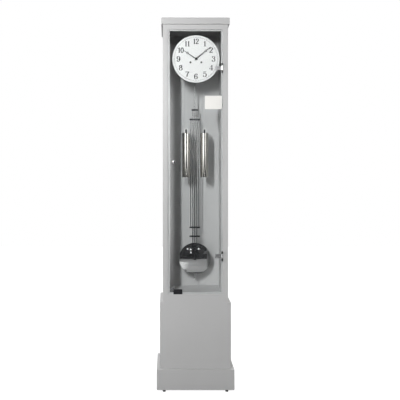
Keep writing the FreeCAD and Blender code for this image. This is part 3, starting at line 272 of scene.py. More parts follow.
@dataclass(frozen=True)
class FloatGlass(Finish):
    """Clear float glass, with rolling waves that show only as a slow bend in its reflections."""

    wave_mm: float = 70.0
    wave_depth: float = 0.00002
    wave_strength: float = 0.2
    ior: float = 1.5

    def shader(self, tree: Tree, place: Source) -> Node:
        """Clear with a breath of green, and light falls through it on what stands behind.

        Args:
            tree: The material's node tree.
            place: The coordinates.

        Returns:
            The shader.
        """
        wave = self.bumps(tree, place, self.wave_mm, self.wave_depth, self.wave_strength, 0.0)
        glass = add(tree, "ShaderNodeBsdfPrincipled", {
            "Base Color": linear(self.colour), "Roughness": self.roughness, "IOR": self.ior,
            "Transmission Weight": 1.0,
        }, {"Normal": wave})
        clear = add(tree, "ShaderNodeBsdfTransparent", {"Color": linear(self.colour)})
        # Light passes straight through to the boards, by a lamp's ray or by one from board to board.
        path = add(tree, "ShaderNodeLightPath")
        passing = add(tree, "ShaderNodeMath", {"operation": "MAXIMUM"},
                      {0: path.outputs["Is Shadow Ray"], 1: path.outputs["Is Diffuse Ray"]})
        return add(tree, "ShaderNodeMixShader", {}, {0: passing, 1: glass, 2: clear})


@dataclass(frozen=True)
class Metal(Finish):
    """A bare or plated metal, polished or with a grain."""

    lay: Lay = Lay.NONE
    grain_mm: float = 0.6
    grain_depth: float = 0.0
    grain_strength: float = 0.4
    patch_mm: float = 40.0
    patch_depth: float = 0.02
    tarnish: float = 0.01

    def shader(self, tree: Tree, place: Source) -> Node:
        """The grain spreads the highlight across itself, and wiped patches change its sharpness.

        Args:
            tree: The material's node tree.
            place: The coordinates.

        Returns:
            The shader.
        """
        stretched = add(tree, "ShaderNodeMapping", {"Scale": self.lay.value}, {"Vector": place})
        grain = self.bumps(tree, stretched, self.grain_mm * max(self.lay.value), self.grain_depth,
                           self.grain_strength)
        return add(tree, "ShaderNodeBsdfPrincipled", {"Metallic": 1.0}, {
            "Base Color": self.varied_colour(tree, place, self.patch_mm, self.tarnish),
            "Roughness": self.varied_gloss(tree, place, self.patch_mm, self.patch_depth),
            "Normal": grain,
        })


@dataclass(frozen=True)
class TwoPartFinish(Finish):
    """A finish whose end towards the axis's start is black, met at a plane: a black moulding, and painted
    shade on the drums' arbors.
    """

    metal: bool = True
    dark: str = "#18181A"
    dark_roughness: float = 0.45
    axis: Axis = Axis.X
    at: float = 0.0
    grain_mm: float = 0.8
    grain_depth: float = 0.00001
    grain_strength: float = 0.4

    def shader(self, tree: Tree, place: Source) -> Node:
        """Black and matt up to the plane, and the finish's own colour past it.

        Args:
            tree: The material's node tree.
            place: The coordinates.

        Returns:
            The shader.
        """
        parts = add(tree, "ShaderNodeSeparateXYZ", {}, {"Vector": place})
        past = add(tree, "ShaderNodeMath", {"operation": "GREATER_THAN", 1: self.at},
                   {0: parts.outputs[self.axis.value]})
        ramp = add(tree, "ShaderNodeValToRGB", {}, {"Fac": past})
        ramp.color_ramp.interpolation = "CONSTANT"
        low, high = ramp.color_ramp.elements
        low.color, high.color, high.position = linear(self.dark), linear(self.colour), 0.5
        metal = add(tree, "ShaderNodeMath", {"operation": "MULTIPLY", 1: float(self.metal)}, {0: past})
        gloss = add(tree, "ShaderNodeMapRange", {"To Min": self.dark_roughness, "To Max": self.roughness},
                    {"Value": past})
        grain = self.bumps(tree, place, self.grain_mm, self.grain_depth, self.grain_strength)
        return add(tree, "ShaderNodeBsdfPrincipled", {}, {
            "Base Color": ramp, "Metallic": metal, "Roughness": gloss, "Normal": grain,
        })


@dataclass(frozen=True)
class Coating(Finish):
    """Stoved enamel, moulded plastic, ink or card."""

    texture_mm: float = 0.8
    texture_depth: float = 0.00001
    texture_strength: float = 0.5
    drift: float = 0.01
    drift_mm: float = 60.0
    gloss_mm: float = 25.0
    gloss_drift: float = 0.05
    ior: float = 1.5

    def shader(self, tree: Tree, place: Source) -> Node:
        """A fine skin whose texture takes the edge off the highlight.

        Args:
            tree: The material's node tree.
            place: The coordinates.

        Returns:
            The shader.
        """
        skin = self.bumps(tree, place, self.texture_mm, self.texture_depth, self.texture_strength)
        return add(tree, "ShaderNodeBsdfPrincipled", {"IOR": self.ior}, {
            "Base Color": self.varied_colour(tree, place, self.drift_mm, self.drift),
            "Roughness": self.varied_gloss(tree, place, self.gloss_mm, self.gloss_drift),
            "Normal": skin,
        })


# Cool light grey polyurethane lacquer: even colour, soft wide sheen.
LACQUER = SprayedLacquer("grey_satin_lacquer", "#B8B8B8", 0.38)
# Float glass: almost nothing but its two faint reflections.
GLASS = FloatGlass("clear_float_glass", "#FCFDFD", 0.0)
# Satin chrome plate on zinc castings: near white, with a soft highlight.
SATIN_CHROME = Metal("satin_chrome_plate", "#D4D5D6", 0.27, grain_mm=0.8, grain_depth=0.00001)
# Leaves sprayed with the case, whose knuckles are black nylon bushes.
BUSHED_LEAF = TwoPartFinish("lacquered_leaf_with_nylon_bush", "#B8B8B8", 0.38, metal=False, at=0.1412)
# Brass drums whose arbors are coloured black in front of a plane: painted shade, so that they show dark in
# the dial's winding holes.
ARBORED_BRASS = TwoPartFinish("brass_drum_with_painted_shade_on_arbor", "#D6AF68", 0.2, axis=Axis.Y, at=-0.024,
                              grain_mm=0.5)
# Moulded white acetal: a soft milky grey-white that takes little shade.
WHITE_ACETAL = Coating("white_moulded_acetal", "#C4C4C2", 0.35, texture_mm=0.7)
# Bright nickel plate on drawn brass tube: a mirror with a warm cast.
BRIGHT_NICKEL = Metal("bright_nickel_plate", "#DAD7D1", 0.055, patch_mm=60.0, patch_depth=0.012,
                      tarnish=0.015)
# Polished stainless steel: a cooler mirror.
MIRROR_STEEL = Metal("mirror_stainless_steel", "#D3D3D3", 0.05, patch_mm=70.0, patch_depth=0.01)
# Drawn and polished steel bar, with its die lines lengthwise.
BRIGHT_BAR = Metal("bright_drawn_steel", "#C9C9C9", 0.09, lay=Lay.ALONG_Z, grain_mm=0.5,
                   grain_depth=0.000004)
# Steel blackened in oil: dark, with a soft metal glint. On the pendulum's crossbars this dark is a painted
# reflection of the dark room.
BLACKENED_STEEL_AND_PAINTED_REFLECTION = Metal("oil_blackened_steel_and_painted_reflection", "#3A3A3C", 0.32, grain_mm=0.7, grain_depth=0.00001,
                        tarnish=0.06)
# Zinc-plated pressed steel: greyish with faint spangle.
ZINC_STEEL = Metal("zinc_plated_steel", "#B9BBBD", 0.34, grain_mm=1.2, grain_depth=0.00002, tarnish=0.05)
# Blue-grey tempered spring strip.
SPRING_STEEL = Metal("tempered_spring_steel", "#8E9299", 0.22, lay=Lay.ALONG_Z, grain_mm=0.3,
                     grain_depth=0.000005)
# Straight-grained brass plates, coloured a dark warm grey as painted shade so that the dial's winding holes
# show dark, with lines of light from the grain.
SHADE_DARKENED_BRASS = Metal("grained_brass_darkened_as_painted_shade", "#7C7A76", 0.34, lay=Lay.ALONG_X, grain_mm=0.35,
                     grain_depth=0.00001, tarnish=0.05)
# Cut and polished wheel brass: brighter and smoother.
WHEEL_BRASS = Metal("polished_wheel_brass", "#D6AF68", 0.18, grain_mm=0.5, grain_depth=0.000004, tarnish=0.04)
# High-tin bell bronze, lathe-turned.
BELL_BRONZE = Metal("turned_bell_bronze", "#C9A673", 0.2, grain_mm=0.4, grain_depth=0.000006, tarnish=0.06)
# Twisted zinc-coated wire rope.
WIRE_ROPE = Metal("zinc_wire_rope", "#A6A8AA", 0.3, grain_mm=0.5, grain_depth=0.00001, tarnish=0.08)
# Stoved white enamel on sheet: clean white, low sheen.
DIAL_ENAMEL = Coating("stoved_white_enamel", "#E8E8E7", 0.42, texture_mm=1.5, texture_depth=0.000008,
                      drift=0.004)
# Screen-printed black ink: dense and matt.
INK = Coating("screen_printed_ink", "#151517", 0.55, texture_mm=0.5, drift=0.05)
# Black satin paint on steel hands.
HAND_BLACK = Coating("black_satin_hand_paint", "#17171A", 0.4, texture_mm=0.6, drift=0.05)
# Injection-moulded polyamide with spark-eroded grain.
DARK_POLYAMIDE = Coating("dark_moulded_polyamide", "#2E2E30", 0.5, texture_mm=0.9, texture_depth=0.00004,
                         drift=0.05)
# White card stock.
CARD_STOCK = Coating("white_card_stock", "#E6E5E1", 0.8, texture_mm=0.4, texture_depth=0.00002)


def tube_faces(start: int, rings: int, around: int, closed: bool = False) -> list[Face]:
    """The faces of a tube, which face out where each ring runs clockwise as seen from its start.

    Args:
        start: The number of its first corner.
        rings: How many rings of corners it has, one after another.
        around: How many corners a ring has.
        closed: Whether it runs back into its start.

    Returns:
        Its sides, and its two ends where it isn't closed.
    """
    faces: list[Face] = []
    for ring in range(rings if closed else rings - 1):
        near, far = start + ring * around, start + (ring + 1) % rings * around
        for corner in range(around):
            beside = (corner + 1) % around
            faces.append((near + corner, near + beside, far + beside, far + corner))
    if closed:
        return faces
    last = start + (rings - 1) * around
    return faces + [tuple(reversed(range(start, start + around))), tuple(range(last, last + around))]


class Workshop:
    """Dresses the frame's nodes and adds pieces that ride on its bodies."""

    def __init__(self, frame: dict) -> None:
        """Keeps the frame's nodes."""
        self.nodes = frame["nodes"]
        self.dressed: set[str] = set()

    def dress(self, finish: Finish, *names: str) -> None:
        """Gives CAD nodes their finish.

        Args:
            finish: The finish.
            names: The nodes.
        """
        for name in names:
            for place in self.nodes[name].material_slots:
                place.material = finish.material()
            self.dressed.add(name)
            LOG.info("%s: %s", name, finish.name)

    def piece(self, name: str, verts: list[Point], faces: list[Face], finish: Finish, body: str,
              slot: str, smooth: bool = False) -> bpy.types.Object:
        """Makes a piece from its corners and faces.

        Args:
            name: The piece's name.
            verts: Its corners in metres.
            faces: Its faces, by corner number.
            finish: Its finish.
            body: The body that it rides on, or nothing where it is blended.
            slot: The record's material slot that it stands for; not used.
            smooth: Whether its faces are shaded as one curve.

        Returns:
            The new object.
        """
        mesh = bpy.data.meshes.new(name)
        mesh.from_pydata(verts, [], faces)
        mesh.validate()
        mesh.update()
        if smooth:
            mesh.shade_smooth()
        made = bpy.data.objects.new(name, mesh)
        bpy.context.scene.collection.objects.link(made)
        mesh.materials.append(finish.material())
        if body:
            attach(made, body)
        LOG.info("%s: %s, %d faces", name, finish.name, len(mesh.polygons))
        return made

    def undressed(self) -> list[str]:
        """The nodes that have no finish yet."""
        return sorted(set(self.nodes) - self.dressed)


@dataclass
class Relief:
    """Flat shapes that stand proud of the dial by a print's thickness."""

    origin: Flat
    back: float
    proud: float
    verts: list[Point] = field(default_factory=list)
    faces: list[Face] = field(default_factory=list)

    def strip(self, left: list[Flat], right: list[Flat], closed: bool = False) -> None:
        """Adds a closed strip between two edges of equal length.

        Args:
            left: Points of the edge on the left as it runs, in metres from the origin.
            right: Points of the edge on the right.
            closed: Whether the strip runs back into its start.
        """
        self.faces += tube_faces(len(self.verts), len(left), 4, closed)
        front = self.back - self.proud
        for (x, z), (u, w) in zip(left, right):
            for across, depth, up in ((x, front, z), (u, front, w), (u, self.back, w), (x, self.back, z)):
                self.verts.append((self.origin[0] + across, depth, self.origin[1] + up))

    def ring(self, centre: Flat, inner: float, outer: float, steps: int) -> None:
        """Adds a flat ring, or a disc where the inner radius is near nothing.

        Args:
            centre: Its middle, in metres from the origin.
            inner: Its inner radius.
            outer: Its outer radius.
            steps: How many pieces it has.
        """
        angles = [math.tau * step / steps for step in range(steps)]
        self.strip([(centre[0] + inner * math.cos(a), centre[1] + inner * math.sin(a)) for a in angles],
                   [(centre[0] + outer * math.cos(a), centre[1] + outer * math.sin(a)) for a in angles], True)


@dataclass(frozen=True)
class Glyph:
    """A numeral's strokes in a box one unit high."""

    width: float
    curves: tuple = ()
    hairs: tuple = ()
    rings: tuple = ()
    balls: tuple = ()
    slabs: tuple = ()


GLYPHS = {
    "0": Glyph(0.56, rings=((0.28, 0.5, 0.20, 0.475),)),
    "1": Glyph(0.44, curves=(((0.25, 0.0), (0.25, 1.0)),),
               hairs=(((0.06, 0.80), (0.18, 0.86), (0.24, 0.985)),),
               slabs=(((0.07, 0.0), (0.43, 0.0)), ((0.07, 0.04), (0.43, 0.04)))),
    "2": Glyph(0.56, curves=(((0.10, 0.76), (0.14, 0.92), (0.28, 0.985), (0.44, 0.90), (0.46, 0.72),
                              (0.34, 0.48), (0.16, 0.24), (0.06, 0.05)),),
               balls=((0.13, 0.75),), slabs=(((0.05, 0.0), (0.47, 0.0), (0.54, 0.24)),
                                             ((0.06, 0.12), (0.43, 0.13), (0.51, 0.24)))),
    "3": Glyph(0.54, curves=(((0.10, 0.80), (0.15, 0.94), (0.28, 0.985), (0.41, 0.90), (0.42, 0.70),
                              (0.33, 0.57), (0.20, 0.53)),
                             ((0.20, 0.53), (0.37, 0.49), (0.46, 0.31), (0.42, 0.10), (0.27, 0.015),
                              (0.13, 0.07), (0.08, 0.22))),
               balls=((0.13, 0.78), (0.11, 0.24))),
    "4": Glyph(0.58, curves=(((0.40, 0.0), (0.40, 1.0)),), hairs=(((0.37, 0.98), (0.05, 0.30)),),
               slabs=(((0.24, 0.0), (0.56, 0.0)), ((0.24, 0.05), (0.56, 0.05)),
                      ((0.02, 0.23), (0.58, 0.23)), ((0.02, 0.32), (0.58, 0.32)))),
    "5": Glyph(0.55, curves=(((0.10, 0.52), (0.20, 0.61), (0.33, 0.62), (0.46, 0.50), (0.48, 0.27),
                              (0.40, 0.07), (0.25, 0.015), (0.13, 0.06), (0.08, 0.20)),),
               hairs=(((0.12, 0.95), (0.10, 0.52)),), balls=((0.11, 0.22),),
               slabs=(((0.10, 0.84), (0.30, 0.83), (0.45, 0.86)),
                      ((0.10, 0.98), (0.30, 0.96), (0.47, 0.99)))),
    "6": Glyph(0.56, curves=(((0.45, 0.82), (0.42, 0.94), (0.33, 0.985), (0.18, 0.88), (0.09, 0.62),
                              (0.09, 0.30)),),
               rings=((0.28, 0.30, 0.185, 0.285),), balls=((0.43, 0.81),)),
    "7": Glyph(0.54, curves=(((0.50, 0.94), (0.36, 0.62), (0.26, 0.35), (0.24, 0.0)),),
               slabs=(((0.03, 0.74), (0.09, 0.86), (0.50, 0.86)),
                      ((0.04, 0.98), (0.14, 0.98), (0.52, 0.98)))),
    "8": Glyph(0.56, rings=((0.28, 0.755, 0.15, 0.225), (0.28, 0.275, 0.19, 0.26))),
    "9": Glyph(0.56, curves=(((0.11, 0.18), (0.14, 0.06), (0.23, 0.015), (0.38, 0.12), (0.47, 0.38),
                              (0.47, 0.70)),),
               rings=((0.28, 0.70, 0.185, 0.285),), balls=((0.13, 0.19),)),
}


@dataclass
class Numerals:
    """Upright serif numerals with strong contrast between their stems and hairlines."""

    height: float = 27.5 * MM
    breadth: float = 1.36
    pair_breadth: float = 1.08
    thick: float = 0.195
    thin: float = 0.06
    contrast: float = 1.5
    ball: float = 0.085
    ball_hole: float = 0.2 * MM
    ball_steps: int = 20
    ring_steps: int = 40
    spacing: float = 0.03

    def smoothed(self, points: tuple, steps: int = 10) -> list[Flat]:
        """A smooth line through points, or a straight one through two.

        Args:
            points: The points.
            steps: How many pieces each stretch has.

        Returns:
            Points along the line.
        """
        if len(points) == 2:
            return list(points)
        line = [points[0], *points, points[-1]]
        drawn = []
        for a, b, c, d in zip(line, line[1:], line[2:], line[3:]):
            for step in range(steps):
                t = step / steps
                drawn.append(tuple(
                    0.5 * (2 * q + (r - p) * t + (2 * p - 5 * q + 4 * r - s) * t * t
                           + (3 * q - p - 3 * r + s) * t ** 3)
                    for p, q, r, s in zip(a, b, c, d)
                ))
        return drawn + [points[-1]]

    def stroke(self, relief: Relief, line: list[Flat], corner: Flat, breadth: float, hair: bool,
               closed: bool = False) -> None:
        """Draws a stroke that is thick where it runs upright and thin where it lies.

        Args:
            relief: What takes the stroke.
            line: Its middle line in the numeral's units.
            corner: The numeral's lower left corner in metres.
            breadth: How far the numeral is widened.
            hair: Whether it is thin all along.
            closed: Whether it runs back into its start.
        """
        left, right = [], []
        count = len(line)
        for place, (x, z) in enumerate(line):
            before = line[(place - 1) % count] if closed or place else line[place]
            after = line[(place + 1) % count] if closed or place < count - 1 else line[place]
            run = Vector((after[0] - before[0], after[1] - before[1])).normalized()
            upright = 0.0 if hair else abs(run.y) ** self.contrast
            width = self.thin + (self.thick - self.thin) * upright
            side = Vector((-run.y / breadth, run.x)) * width / 2
            left.append(self.placed(x + side.x, z + side.y, corner, breadth))
            right.append(self.placed(x - side.x, z - side.y, corner, breadth))
        relief.strip(left, right, closed)

    def placed(self, x: float, z: float, corner: Flat, breadth: float) -> Flat:
        """A point of a numeral in metres."""
        return corner[0] + x * breadth * self.height, corner[1] + z * self.height

    def draw(self, relief: Relief, text: str, middle: Flat) -> None:
        """Draws a number about a point.

        Args:
            relief: What takes the strokes.
            text: The number.
            middle: Where its middle stands.
        """
        glyphs = [GLYPHS[letter] for letter in text]
        breadth = self.breadth if len(glyphs) == 1 else self.pair_breadth
        total = sum(glyph.width for glyph in glyphs) + self.spacing * (len(glyphs) - 1)
        left = middle[0] - total * breadth * self.height / 2
        for glyph in glyphs:
            corner = (left, middle[1] - self.height / 2)
            for line in glyph.curves:
                self.stroke(relief, self.smoothed(line), corner, breadth, False)
            for line in glyph.hairs:
                self.stroke(relief, self.smoothed(line), corner, breadth, True)
            for x, z, across, up in glyph.rings:
                turn = [math.tau * step / self.ring_steps for step in range(self.ring_steps)]
                middle_line = [(x + across * math.cos(a), z + up * math.sin(a)) for a in turn]
                self.stroke(relief, middle_line, corner, breadth, False, True)
            for low, high in zip(glyph.slabs[::2], glyph.slabs[1::2]):
                relief.strip([self.placed(*point, corner, breadth) for point in high],
                             [self.placed(*point, corner, breadth) for point in low])
            for x, z in glyph.balls:
                relief.ring(self.placed(x, z, corner, breadth), self.ball_hole, self.ball * self.height,
                            self.ball_steps)
            left += (glyph.width + self.spacing) * breadth * self.height


@dataclass
class Case:
    """The lacquered case on its feet."""

    boards: tuple[str, ...] = (
        "cornice_board", "top_rail", "side_panel_left", "side_panel_right", "back_panel", "lower_front_panel",
        "trunk_floor", "case_bottom", "base_cheeks", "plinth_skirting", "glass_stops",
    )

    def build(self, shop: Workshop) -> None:
        """Dresses the boards and the feet."""
        shop.dress(LACQUER, *self.boards)
        shop.dress(DARK_POLYAMIDE, "feet")


@dataclass
class Door:
    """The glass door with its fittings, and the card that is stuck to its front."""

    card_left: float = 0.048
    card_right: float = 0.136
    card_low: float = 1.443
    card_high: float = 1.511
    card_back: float = -0.1197
    card_thickness: float = 0.4 * MM
    card_bow: float = 1.2 * MM
    card_steps: int = 12

    def build(self, shop: Workshop) -> None:
        """Dresses the pane and its fittings and makes the card.

        Args:
            shop: The workshop.
        """
        shop.dress(GLASS, "door_glass")
        shop.dress(SATIN_CHROME, "hinge_clamps")
        shop.dress(MIRROR_STEEL, "door_knob")
        shop.dress(BUSHED_LEAF, "hinge_leaves")
        shop.dress(BLACKENED_STEEL_AND_PAINTED_REFLECTION, "strike_clip")
        shop.dress(ZINC_STEEL, "screws")
        shop.dress(DARK_POLYAMIDE, "magnet_catch")
        self.hang_card(shop)

    def hang_card(self, shop: Workshop) -> None:
        """Puts the blank card on the pane's front face, bowed a little between its held edges.

        Args:
            shop: The workshop.
        """
        verts: list[Point] = []
        for step in range(self.card_steps + 1):
            share = step / self.card_steps
            x = self.card_left + share * (self.card_right - self.card_left)
            back = self.card_back - self.card_bow * math.sin(math.pi * share)
            front = back - self.card_thickness
            verts += [(x, front, self.card_low), (x, back, self.card_low), (x, back, self.card_high),
                      (x, front, self.card_high)]
        faces = tube_faces(0, self.card_steps + 1, 4)
        shop.piece("blank_card", verts, faces, CARD_STOCK, "door", "dial_enamel")


@dataclass
class Dial:
    """The enamelled dial with its printed numbers and minute track."""

    centre: Flat = DIAL_MIDDLE
    face: float = -0.0695
    proud: float = 0.15 * MM
    number_radius: float = 91.3 * MM
    track_inner: float = 111.0 * MM
    track_outer: float = 114.6 * MM
    track_line: float = 0.45 * MM
    track_steps: int = 180
    tick_width: float = 0.6 * MM
    bold_tick_width: float = 1.8 * MM
    numerals: Numerals = field(default_factory=Numerals)

    def build(self, shop: Workshop) -> None:
        """Dresses the dial and hands and prints the dial.

        Args:
            shop: The workshop.
        """
        shop.dress(DIAL_ENAMEL, "dial_plate")
        shop.dress(HAND_BLACK, "minute_hand", "hour_hand", "hand_nut")
        self.print_numbers(shop)
        self.print_track(shop)

    def print_numbers(self, shop: Workshop) -> None:
        """Prints the hours from one to twelve.

        Args:
            shop: The workshop.
        """
        relief = Relief(self.centre, self.face, self.proud)
        for hour in range(1, 13):
            angle = math.radians(30 * hour)
            middle = (self.number_radius * math.sin(angle), self.number_radius * math.cos(angle))
            self.numerals.draw(relief, str(hour), middle)
        shop.piece("dial_numerals", relief.verts, relief.faces, INK, "case", "black_hands")

    def print_track(self, shop: Workshop) -> None:
        """Prints two fine rings with sixty ticks between them, bolder at each hour.

        Args:
            shop: The workshop.
        """
        relief = Relief(self.centre, self.face, self.proud)
        for radius in (self.track_inner, self.track_outer):
            relief.ring((0, 0), radius - self.track_line / 2, radius + self.track_line / 2, self.track_steps)
        for minute in range(60):
            angle = math.radians(6 * minute)
            out, aside = (math.sin(angle), math.cos(angle)), (math.cos(angle), -math.sin(angle))
            half = (self.bold_tick_width if minute % 5 == 0 else self.tick_width) / 2
            edges = [[(reach * out[0] + wide * aside[0], reach * out[1] + wide * aside[1])
                      for reach in (self.track_inner, self.track_outer)] for wide in (-half, half)]
            relief.strip(*edges)
        shop.piece("minute_track", relief.verts, relief.faces, INK, "case", "black_hands")


class Movement:
    """The movement on its steel bracket."""

    def build(self, shop: Workshop) -> None:
        """Dresses the plates, the trains and the strike work.

        Args:
            shop: The workshop.
        """
        shop.dress(ZINC_STEEL, "movement_bracket")
        # The plates' dark grey is painted shade, seen through the dial's winding holes.
        shop.dress(SHADE_DARKENED_BRASS, "movement_front_plate", "movement_back_plate", "suspension_cock")
        shop.dress(WHEEL_BRASS, "movement_pillars", "cannon_pinion", "minute_wheel", "hour_wheel",
                   "going_great_wheel", "centre_wheel", "third_wheel", "escape_wheel", "strike_great_wheel",
                   "pin_wheel")
        # The arbors' black ends are painted shade, seen through the dial's winding holes.
        shop.dress(ARBORED_BRASS, "going_drum", "strike_drum")
        shop.dress(SPRING_STEEL, "anchor", "strike_hammer", "suspension_spring")
        shop.dress(BELL_BRONZE, "bell")


@dataclass
class CableRun:
    """A twisted steel cable from its drum round the weight's pulley and up to the shelf."""

    name: str
    side: int
    middle: Flat = DIAL_MIDDLE
    depth: float = 2.5 * MM
    drum: Flat = (28.4 * MM, -17.5 * MM)
    drum_radius: float = 21.0 * MM
    pulley: Flat = (48.8 * MM, -364.5 * MM)
    pulley_radius: float = 11.0 * MM
    shelf: float = -58.0 * MM
    radius: float = 0.7 * MM
    strands: int = 6
    strand_corners: int = 4
    groove: float = 0.14
    lay_length: float = 9.0 * MM
    step: float = 1.5 * MM
    bend_steps: int = 24
    ferrule_radius: float = 2.0 * MM
    ferrule_length: float = 8.0 * MM
    ferrule_corners: int = 24
    # Shares of its radius by shares of its length, waisted where the press closed it.
    ferrule_outline: tuple[Flat, ...] = (
        (0.62, 0.0), (0.9, 0.06), (1.0, 0.14), (1.0, 0.3), (0.86, 0.36), (0.86, 0.64), (1.0, 0.7),
        (1.0, 0.86), (0.9, 0.94), (0.62, 1.0),
    )

    def route(self) -> list[Vector]:
        """Points along the cable's middle line, a step apart, from the dial's middle.

        Returns:
            The points, from the drum to the shelf.
        """
        side = self.side
        start = Vector((side * self.drum[0], self.drum[1]))
        end = Vector((side * self.pulley[0], self.pulley[1]))
        run = end - start
        lean = math.asin((self.drum_radius - self.pulley_radius) / run.length)
        normal = math.atan2(run.y, run.x) + side * (math.pi / 2 - lean)
        out = Vector((math.cos(normal), math.sin(normal)))
        leaves, meets = start + out * self.drum_radius, end + out * self.pulley_radius
        points = self.divided(leaves, meets)
        sweep = math.pi - math.atan2(out.y, side * out.x)
        for step in range(1, self.bend_steps):
            angle = math.atan2(out.y, out.x) - side * sweep * step / self.bend_steps
            points.append(end + Vector((math.cos(angle), math.sin(angle))) * self.pulley_radius)
        inner = end - Vector((side * self.pulley_radius, 0))
        return points + self.divided(inner, Vector((inner.x, self.shelf)))

    def divided(self, start: Vector, end: Vector) -> list[Vector]:
        """Points a step apart on a straight run."""
        count = max(int((end - start).length / self.step), 1)
        return [start.lerp(end, step / count) for step in range(count + 1)]

    def build(self, shop: Workshop) -> None:
        """Twists the strands along the route, and hides the plain cable.

        Args:
            shop: The workshop.
        """
        route = self.route()
        verts: list[Point] = []
        around = self.strands * self.strand_corners
        travelled = 0.0
        for place, point in enumerate(route):
            before, after = route[max(place - 1, 0)], route[min(place + 1, len(route) - 1)]
            run = (after - before).normalized()
            travelled += (point - route[max(place - 1, 0)]).length
            twist = math.tau * travelled / self.lay_length
            for corner in range(around):
                angle = math.tau * corner / around
                reach = self.radius * (1 - self.groove + self.groove * math.cos(self.strands * angle))
                aside, deep = reach * math.cos(angle + twist), reach * math.sin(angle + twist)
                verts.append((self.middle[0] + point.x - run.y * aside, self.depth + deep,
                              self.middle[1] + point.y + run.x * aside))
        # Its corners run anticlockwise as seen from the drum, so the faces are turned over.
        faces = [face[:1] + face[:0:-1] for face in tube_faces(0, len(route), around)]
        self.add_ferrule(verts, faces, route[-1])
        piece = shop.piece(self.name + "_cable_strands", verts, faces, WIRE_ROPE, "", "cable_steel", True)
        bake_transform(piece)
        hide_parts(self.name + "_cable")
        shop.dressed.add(self.name + "_cable")

    def add_ferrule(self, verts: list[Point], faces: list[Face], top: Vector) -> None:
        """Adds the swaged ferrule under the shelf.

        Args:
            verts: The corners, which it adds to.
            faces: The faces, which it adds to.
            top: The cable's end, from the dial's middle.
        """
        faces += tube_faces(len(verts), len(self.ferrule_outline), self.ferrule_corners)
        for out, along in self.ferrule_outline:
            for corner in range(self.ferrule_corners):
                angle = math.tau * corner / self.ferrule_corners
                verts.append((self.middle[0] + top.x + out * self.ferrule_radius * math.cos(angle),
                              self.depth + out * self.ferrule_radius * math.sin(angle),
                              self.middle[1] + top.y - self.ferrule_length * (1 - along)))


@dataclass
class Weights:
    """Both weights with their pulleys and cables."""

    names: tuple[tuple[str, int], ...] = (("left", -1), ("right", 1))

    def build(self, shop: Workshop) -> None:
        """Dresses the weights and lays their cables.

        Args:
            shop: The workshop.
        """
        for name, side in self.names:
            shop.dress(BRIGHT_NICKEL, name + "_weight_shell", name + "_weight_caps")
            shop.dress(ZINC_STEEL, name + "_weight_core")
            shop.dress(BRIGHT_BAR, name + "_pulley_stirrup")
            shop.dress(WHITE_ACETAL, name + "_pulley")
            CableRun(name, side).build(shop)


class Pendulum:
    """The gridiron pendulum."""

    def build(self, shop: Workshop) -> None:
        """Dresses the rods, crossbars and bob.

        Args:
            shop: The workshop.
        """
        shop.dress(BRIGHT_BAR, "pendulum_hook", "pendulum_rods")
        # The crossbars' dark colour is a painted reflection: it stands in for the dark room that polished
        # bars mirror.
        shop.dress(BLACKENED_STEEL_AND_PAINTED_REFLECTION, "pendulum_crossbars")
        shop.dress(MIRROR_STEEL, "pendulum_bob", "rating_nut")


